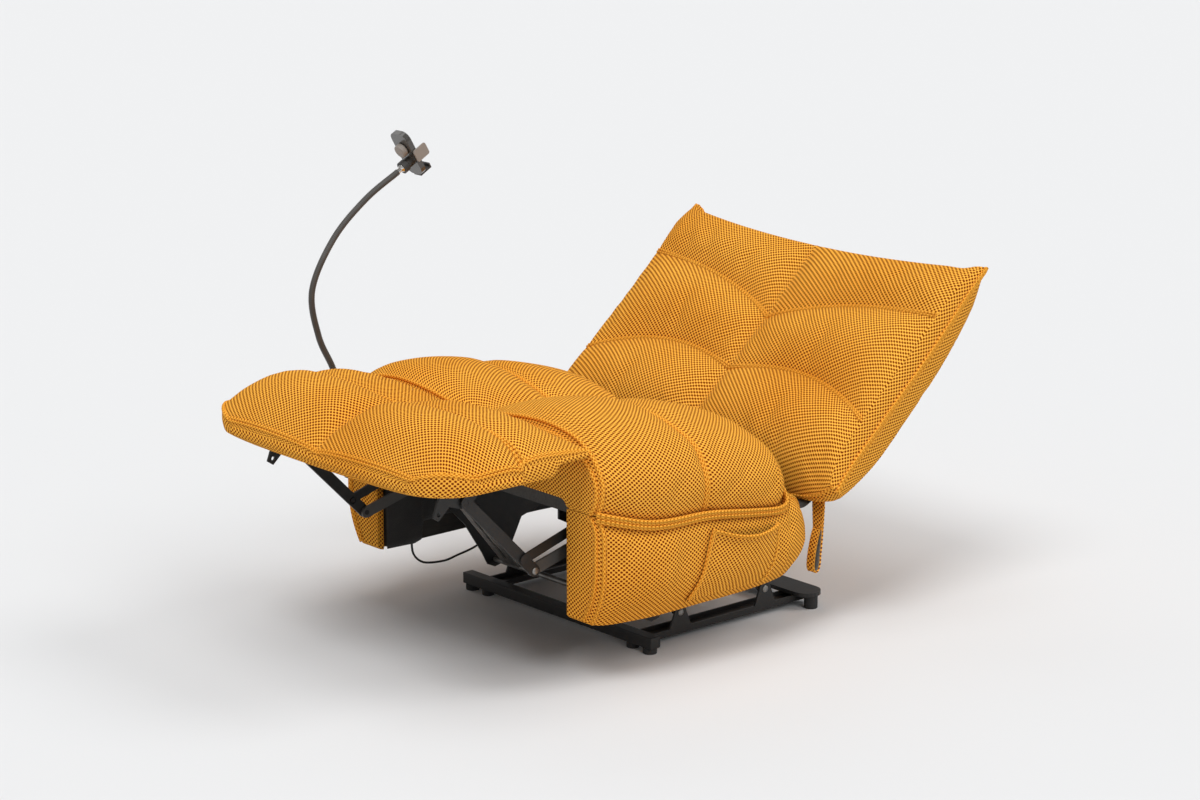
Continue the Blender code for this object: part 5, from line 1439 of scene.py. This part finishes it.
def make_rear_cover():
    xs = sorted({-0.350 + 0.700 * k / 70 for k in range(71)}
                | {p[0] for p in COVER_LOW[1:-1]})
    rows = []
    for x in xs:
        low, high = straight(COVER_LOW, x), straight(COVER_HIGH, x)
        row = []
        for k in range(15):
            z = low + (high - low) * k / 14
            wave = 0.0008 * math.sin(23 * x + 40 * z) * arch(k / 14)
            row.append(drawn(SEAT_REAR_Y + 0.0018 + wave, z, x))
        rows.append(row)
    cover, area = layer_of("rear_cover_cloth", rows, 0.0012)
    fitted(cover, "seat", "rear_cover")


def make_webbing():
    """Webbing straps laced under and over each other across the seat bed."""
    low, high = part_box("seat_webbing")
    middle = (low.z + high.z) / 2
    half = 0.024
    spans = ((low.x, high.x), (low.y, high.y))
    lanes = [[a + half + (b - a - 2 * half) * k / count for k in range(count + 1)]
             for (a, b), count in zip(spans, (6, 5))]

    def lace(along, crossed, sign):
        near = [hump(along - lane, 0.030) * (1 if k % 2 else -1)
                for k, lane in enumerate(crossed)]
        return sign * 0.0011 * sum(near)

    panels = []
    for across, (a, b) in enumerate(spans[::-1]):
        for k, lane in enumerate(lanes[across]):
            rows = []
            for step in range(61):
                along = a + (b - a) * step / 60
                z = middle + lace(along, lanes[1 - across], 1 if (k + across) % 2 else -1)
                row = [(lane + half * s, along) for s in (-1, -0.5, 0, 0.5, 1)]
                rows.append([Vector((*(p[::-1] if across else p), z)) for p in row])
            panels.append((rows, 0))
    bed = sewn("laced_webbing", panels, ["webbing"], weld=1e-7)
    thicken(bed, 0.0010)
    fitted(bed, "seat", "seat_webbing")


def make_gusset():
    """Black cloth that closes the gap between the seat and the back, and folds there."""
    start = drawn(0.178, 0.330)
    end = on_back(0, 0.012, -0.018)
    half = 0.338
    rows = []
    for k in range(65):
        u = -1 + 2 * k / 64
        flank_share = max(abs(u) - 0.86, 0) / 0.14
        row = []
        for j in range(17):
            t = j / 16
            base = start.lerp(end, t)
            wave = 0.0022 * math.sin(24 * u + 5 * t) * arch(t)
            sag = 0.030 * arch(t) * (1 + 0.5 * flank_share)
            row.append(Vector((half * u, base.y, base.z - sag + wave)))
        rows.append(row)
    gusset, area = layer_of("back_gusset", rows, 0.0012)
    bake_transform(gusset)


# Phone arm, lead and hardware

def make_neck():
    forward = Vector((0, math.cos(HOLDER_TILT), math.sin(HOLDER_TILT)))
    points = route(NECK_ROUTE, 90)
    points.append(points[-1] + forward * NECK_STUB)
    line = [drawn(p.y, p.z, p.x) for p in points]
    neck = grow("ribbed_neck", TREES["rib"], [line], "ribbed steel", Radius=NECK_RADIUS,
                Rib=0.0009, Pitch=0.0036)
    fitted(neck, "neck", "flexible_neck")


def make_lead():
    """Thin lead from the control panel to the drive."""
    curve = bpy.data.curves.new("control_lead_cord", "CURVE")
    curve.dimensions = "3D"
    curve.bevel_depth = LEAD_RADIUS
    curve.bevel_resolution = 4
    curve.use_fill_caps = True
    points = [drawn(p.y, p.z, p.x) for p in route(LEAD_ROUTE, 34)]
    spline = curve.splines.new("POLY")
    spline.points.add(len(points) - 1)
    for point, p in zip(spline.points, points):
        point.co = (*p, 1)
    curve.materials.append(FINISHES["lead jacket"])
    lead = placed("control_lead_cord", curve)
    fitted(lead, "seat", "control_lead")


def dress_frame():
    """Give every CAD node that stays its procedural finish."""
    for kind, names in FINISH_OF_NODES.items():
        for name in names:
            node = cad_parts[name]
            if not node.material_slots:
                node.data.materials.append(FINISHES[kind])
            for slot in node.material_slots:
                slot.material = FINISHES[kind]


def make_rivets():
    """Rivet heads on the outer ends of the link pins."""
    pin_z, pin_to_pin, lean = 0.055, 0.160, math.radians(40)
    heads = {}

    def add(body, y, z, x):
        heads.setdefault(body, []).append((drawn(y, z, x), Vector((math.copysign(1, x), 0, 0))))

    for side in SIDES.values():
        for body, y in (("front_links", 0.030), ("rear_links", 0.250)):
            add(body, y, pin_z, side * 0.2432)
            add(body, y - pin_to_pin * math.sin(lean), pin_z + pin_to_pin * math.cos(lean),
                side * 0.2387)
        add("main_links", -0.125, 0.270, side * 0.2492)
        add("guide_links", -0.153, 0.306, side * 0.2592)
        add("upper_links", -0.337, 0.214, side * 0.2547)
    for body, places in heads.items():
        rivets = grow("rivets_" + body, TREES["rivet"], [[p] for p, _ in places], "zinc",
                      facing=[f for _, f in places], Radius=0.0072, Height=0.0024)
        fitted(rivets, body)


def aimed(name, data, azimuth, height):
    """A lamp or camera that looks back from a direction, and that direction."""
    a, e = math.radians(azimuth), math.radians(height)
    back = Vector((math.sin(a) * math.cos(e), -math.cos(a) * math.cos(e), math.sin(e)))
    obj = placed(name, data)
    obj.rotation_euler = back.to_track_quat("Z", "Y").to_euler()
    return obj, back


def make_stage():
    """Pale floor, soft lamps and the camera at the photograph's angle."""
    mesh = bpy.data.meshes.new("studio_floor")
    far = 40
    corners = [(-far, -far, 0), (far, -far, 0), (far, far, 0), (-far, far, 0)]
    mesh.from_pydata(corners, [], [(0, 1, 2, 3)])
    mesh.materials.append(finish("studio_floor", matt, tuple(colours().floor)))
    placed("studio_floor", mesh)

    world = bpy.data.worlds.new("studio")
    bpy.context.scene.world = world
    world.use_nodes = True
    world.node_tree.nodes.clear()
    bench = Bench(world.node_tree)
    lit = bench.node("ShaderNodeBackground",
                     {"Color": (1.0, 1.0, 1.0), "Strength": sizes().sky_strength})
    seen = bench.node("ShaderNodeBackground", {"Color": BACKDROP})
    camera_ray = bench.node("ShaderNodeLightPath", output="Is Camera Ray")
    mixed = bench.node("ShaderNodeMixShader", {0: camera_ray, 1: lit, 2: seen})
    bench.node("ShaderNodeOutputWorld", {"Surface": mixed})

    fill = sizes().fill_strength
    for name, azimuth, height, strength, spread in (
            ("key", 22.0, 57.0, sizes().key_strength, 25.0),
            ("top_fill", 0.0, 85.0, 0.60 * fill, 40.0),
            ("side_fill", 80.0, 36.0, 0.70 * fill, 25.0),
            ("rear_fill", 140.0, 45.0, 0.70 * fill, 25.0),
            ("far_fill", -90.0, 35.0, 0.25 * fill, 40.0)):
        lamp = bpy.data.lights.new(name, "SUN")
        lamp.energy = strength
        lamp.angle = math.radians(spread)
        aimed(name, lamp, azimuth, height)

    lens = bpy.data.cameras.new("photo_camera")
    lens.lens, lens.sensor_width, lens.clip_end = CAMERA_LENS, CAMERA_SENSOR, 100
    camera, back = aimed("photo_camera", lens, CAMERA_AZIMUTH, CAMERA_HEIGHT)
    camera.location = drawn(*CAMERA_TARGET) + back * CAMERA_AWAY
    bpy.context.scene.camera = camera
    bpy.context.scene.view_settings.view_transform = "Standard"


# Add-on

def colour_property(name, description, default):
    return FloatVectorProperty(name=name, description=description, default=default,
                               subtype="COLOR", size=3, min=0.0, max=1.0)


def size_property(name, description, default, unit="LENGTH"):
    return FloatProperty(name=name, description=description, default=default, unit=unit)


class RECLINER_PG_sizes(bpy.types.PropertyGroup):
    """Sizes of the sewn work"""
    mesh_across: size_property("Mesh pitch across",
                               "From hole to hole along a row of the spacer mesh", 0.0096)
    mesh_down: size_property("Mesh pitch down", "From row to row of like holes", 0.0081)
    piping_radius: size_property("Piping radius", "Radius of each cord of the double welt",
                                 0.0054)
    stitch_pitch: size_property("Stitch pitch", "From one stitch to the next", 0.0065)
    stitch_length: size_property("Stitch length", "Length of thread that shows in one stitch",
                                 0.0046)
    thread_radius: size_property("Thread radius", "Radius of the sewing thread", 0.0007)
    pressure: size_property("Stuffing pressure", "Pressure that plumps the cushions", 4.0,
                            "NONE")
    sky_strength: size_property("Sky", "Strength of the even light all round", 0.34, "NONE")
    key_strength: size_property("Key", "Strength of the soft lamp from the front", 1.25, "NONE")
    fill_strength: size_property("Fill", "Strength that the four fill lamps share", 1.00, "NONE")

class RECLINER_PG_colours(bpy.types.PropertyGroup):
    """Colours of the chair"""
    # yarn is the lit yarn and yarn_shade a shaded copy of it, which paints shade round the holes
    # and also varies the tone at random; the mesh hole colour is painted shade in the holes
    yarn: colour_property("Yarn", "Lit yarn of the spacer mesh", (1.0, 0.505, 0.072))
    yarn_shade: colour_property("Yarn shade", "Yarn down in the mesh", (0.74, 0.235, 0.010))
    mesh_hole_shade: colour_property("Mesh hole", "Depth of the mesh holes", (0.19, 0.026, 0.001))
    black_steel: colour_property("Black steel", "Powder coat", (0.017, 0.0165, 0.016))
    zinc: colour_property("Zinc", "Zinc plate", (0.42, 0.41, 0.39))
    black_cloth: colour_property("Black cloth", "Lining and gusset", (0.022, 0.021, 0.020))
    floor: colour_property("Floor", "Studio floor", (0.730, 0.736, 0.744))


def operator(key, label, text, work):
    """An operator class that runs one making function."""
    def execute(self, context):
        work()
        return {"FINISHED"}
    return type("RECLINER_OT_" + key, (bpy.types.Operator,),
                {"bl_idname": "recliner." + key, "bl_label": label, "__doc__": text,
                 "bl_options": {"REGISTER", "UNDO"}, "execute": execute})


def prepare():
    """Finishes, trees and the looks of the CAD nodes that stay."""
    make_finishes()
    TREES.update(stitch=stitch_tree(), cord=sweep_tree(), rib=rib_tree(), rivet=rivet_tree())
    dress_frame()


STEPS = tuple(operator(*row) for row in (
    ("stage", "Stage", "Floor, lamps and camera", make_stage),
    ("finishes", "Finishes", "Materials, trees and the CAD nodes' finishes", prepare),
    ("lead", "Control lead", "Thin lead under the seat", make_lead),
    ("seat", "Seat cushion", "Saddle seat with its sewn channels", make_seat),
    ("side_pads", "Side pads", "Padded sides below the welt", make_side_pads),
    ("piping", "Double piping", "Two welt cords on each side", make_piping),
    ("pocket", "Side pocket", "Cloth pocket with an elastic mouth", make_pocket),
    ("footrest", "Footrest cushion", "Four-bay footrest cushion", make_footrest),
    ("back", "Back cushion", "Six-pillow back with boxed edges", make_back),
    ("strap", "Pull strap", "Lined cloth strap", make_strap),
    ("linings", "Linings", "Black cloth inside the sides", make_linings),
    ("rear_cover", "Rear cover", "Black cloth behind the seat", make_rear_cover),
    ("webbing", "Webbing", "Laced straps under the seat", make_webbing),
    ("gusset", "Gusset", "Black cloth between seat and back", make_gusset),
    ("neck", "Ribbed neck", "Flexible neck of the phone holder", make_neck),
    ("rivets", "Rivets", "Rivet heads on the link pins", make_rivets),
))


class RECLINER_PT_dressing(bpy.types.Panel):
    """Lists the sizes, colours and pieces of the recliner"""
    bl_label = "Recliner"
    bl_idname = "RECLINER_PT_dressing"
    bl_space_type = "VIEW_3D"
    bl_region_type = "UI"
    bl_category = "Recliner"

    def draw(self, context):
        layout = self.layout
        for group in (context.scene.recliner_sizes, context.scene.recliner_colours):
            for key in group.__annotations__:
                layout.prop(group, key)
        for step in STEPS:
            layout.operator(step.bl_idname)


CLASSES = (RECLINER_PG_sizes, RECLINER_PG_colours, *STEPS, RECLINER_PT_dressing)


def register():
    for item in CLASSES:
        bpy.utils.register_class(item)
    bpy.types.Scene.recliner_sizes = PointerProperty(type=RECLINER_PG_sizes)
    bpy.types.Scene.recliner_colours = PointerProperty(type=RECLINER_PG_colours)


def unregister():
    del bpy.types.Scene.recliner_colours
    del bpy.types.Scene.recliner_sizes
    for item in reversed(CLASSES):
        bpy.utils.unregister_class(item)


def main():
    register()
    for step in STEPS:
        getattr(bpy.ops.recliner, step.bl_idname.split(".")[1])()


if __name__ == "__main__":
    main()
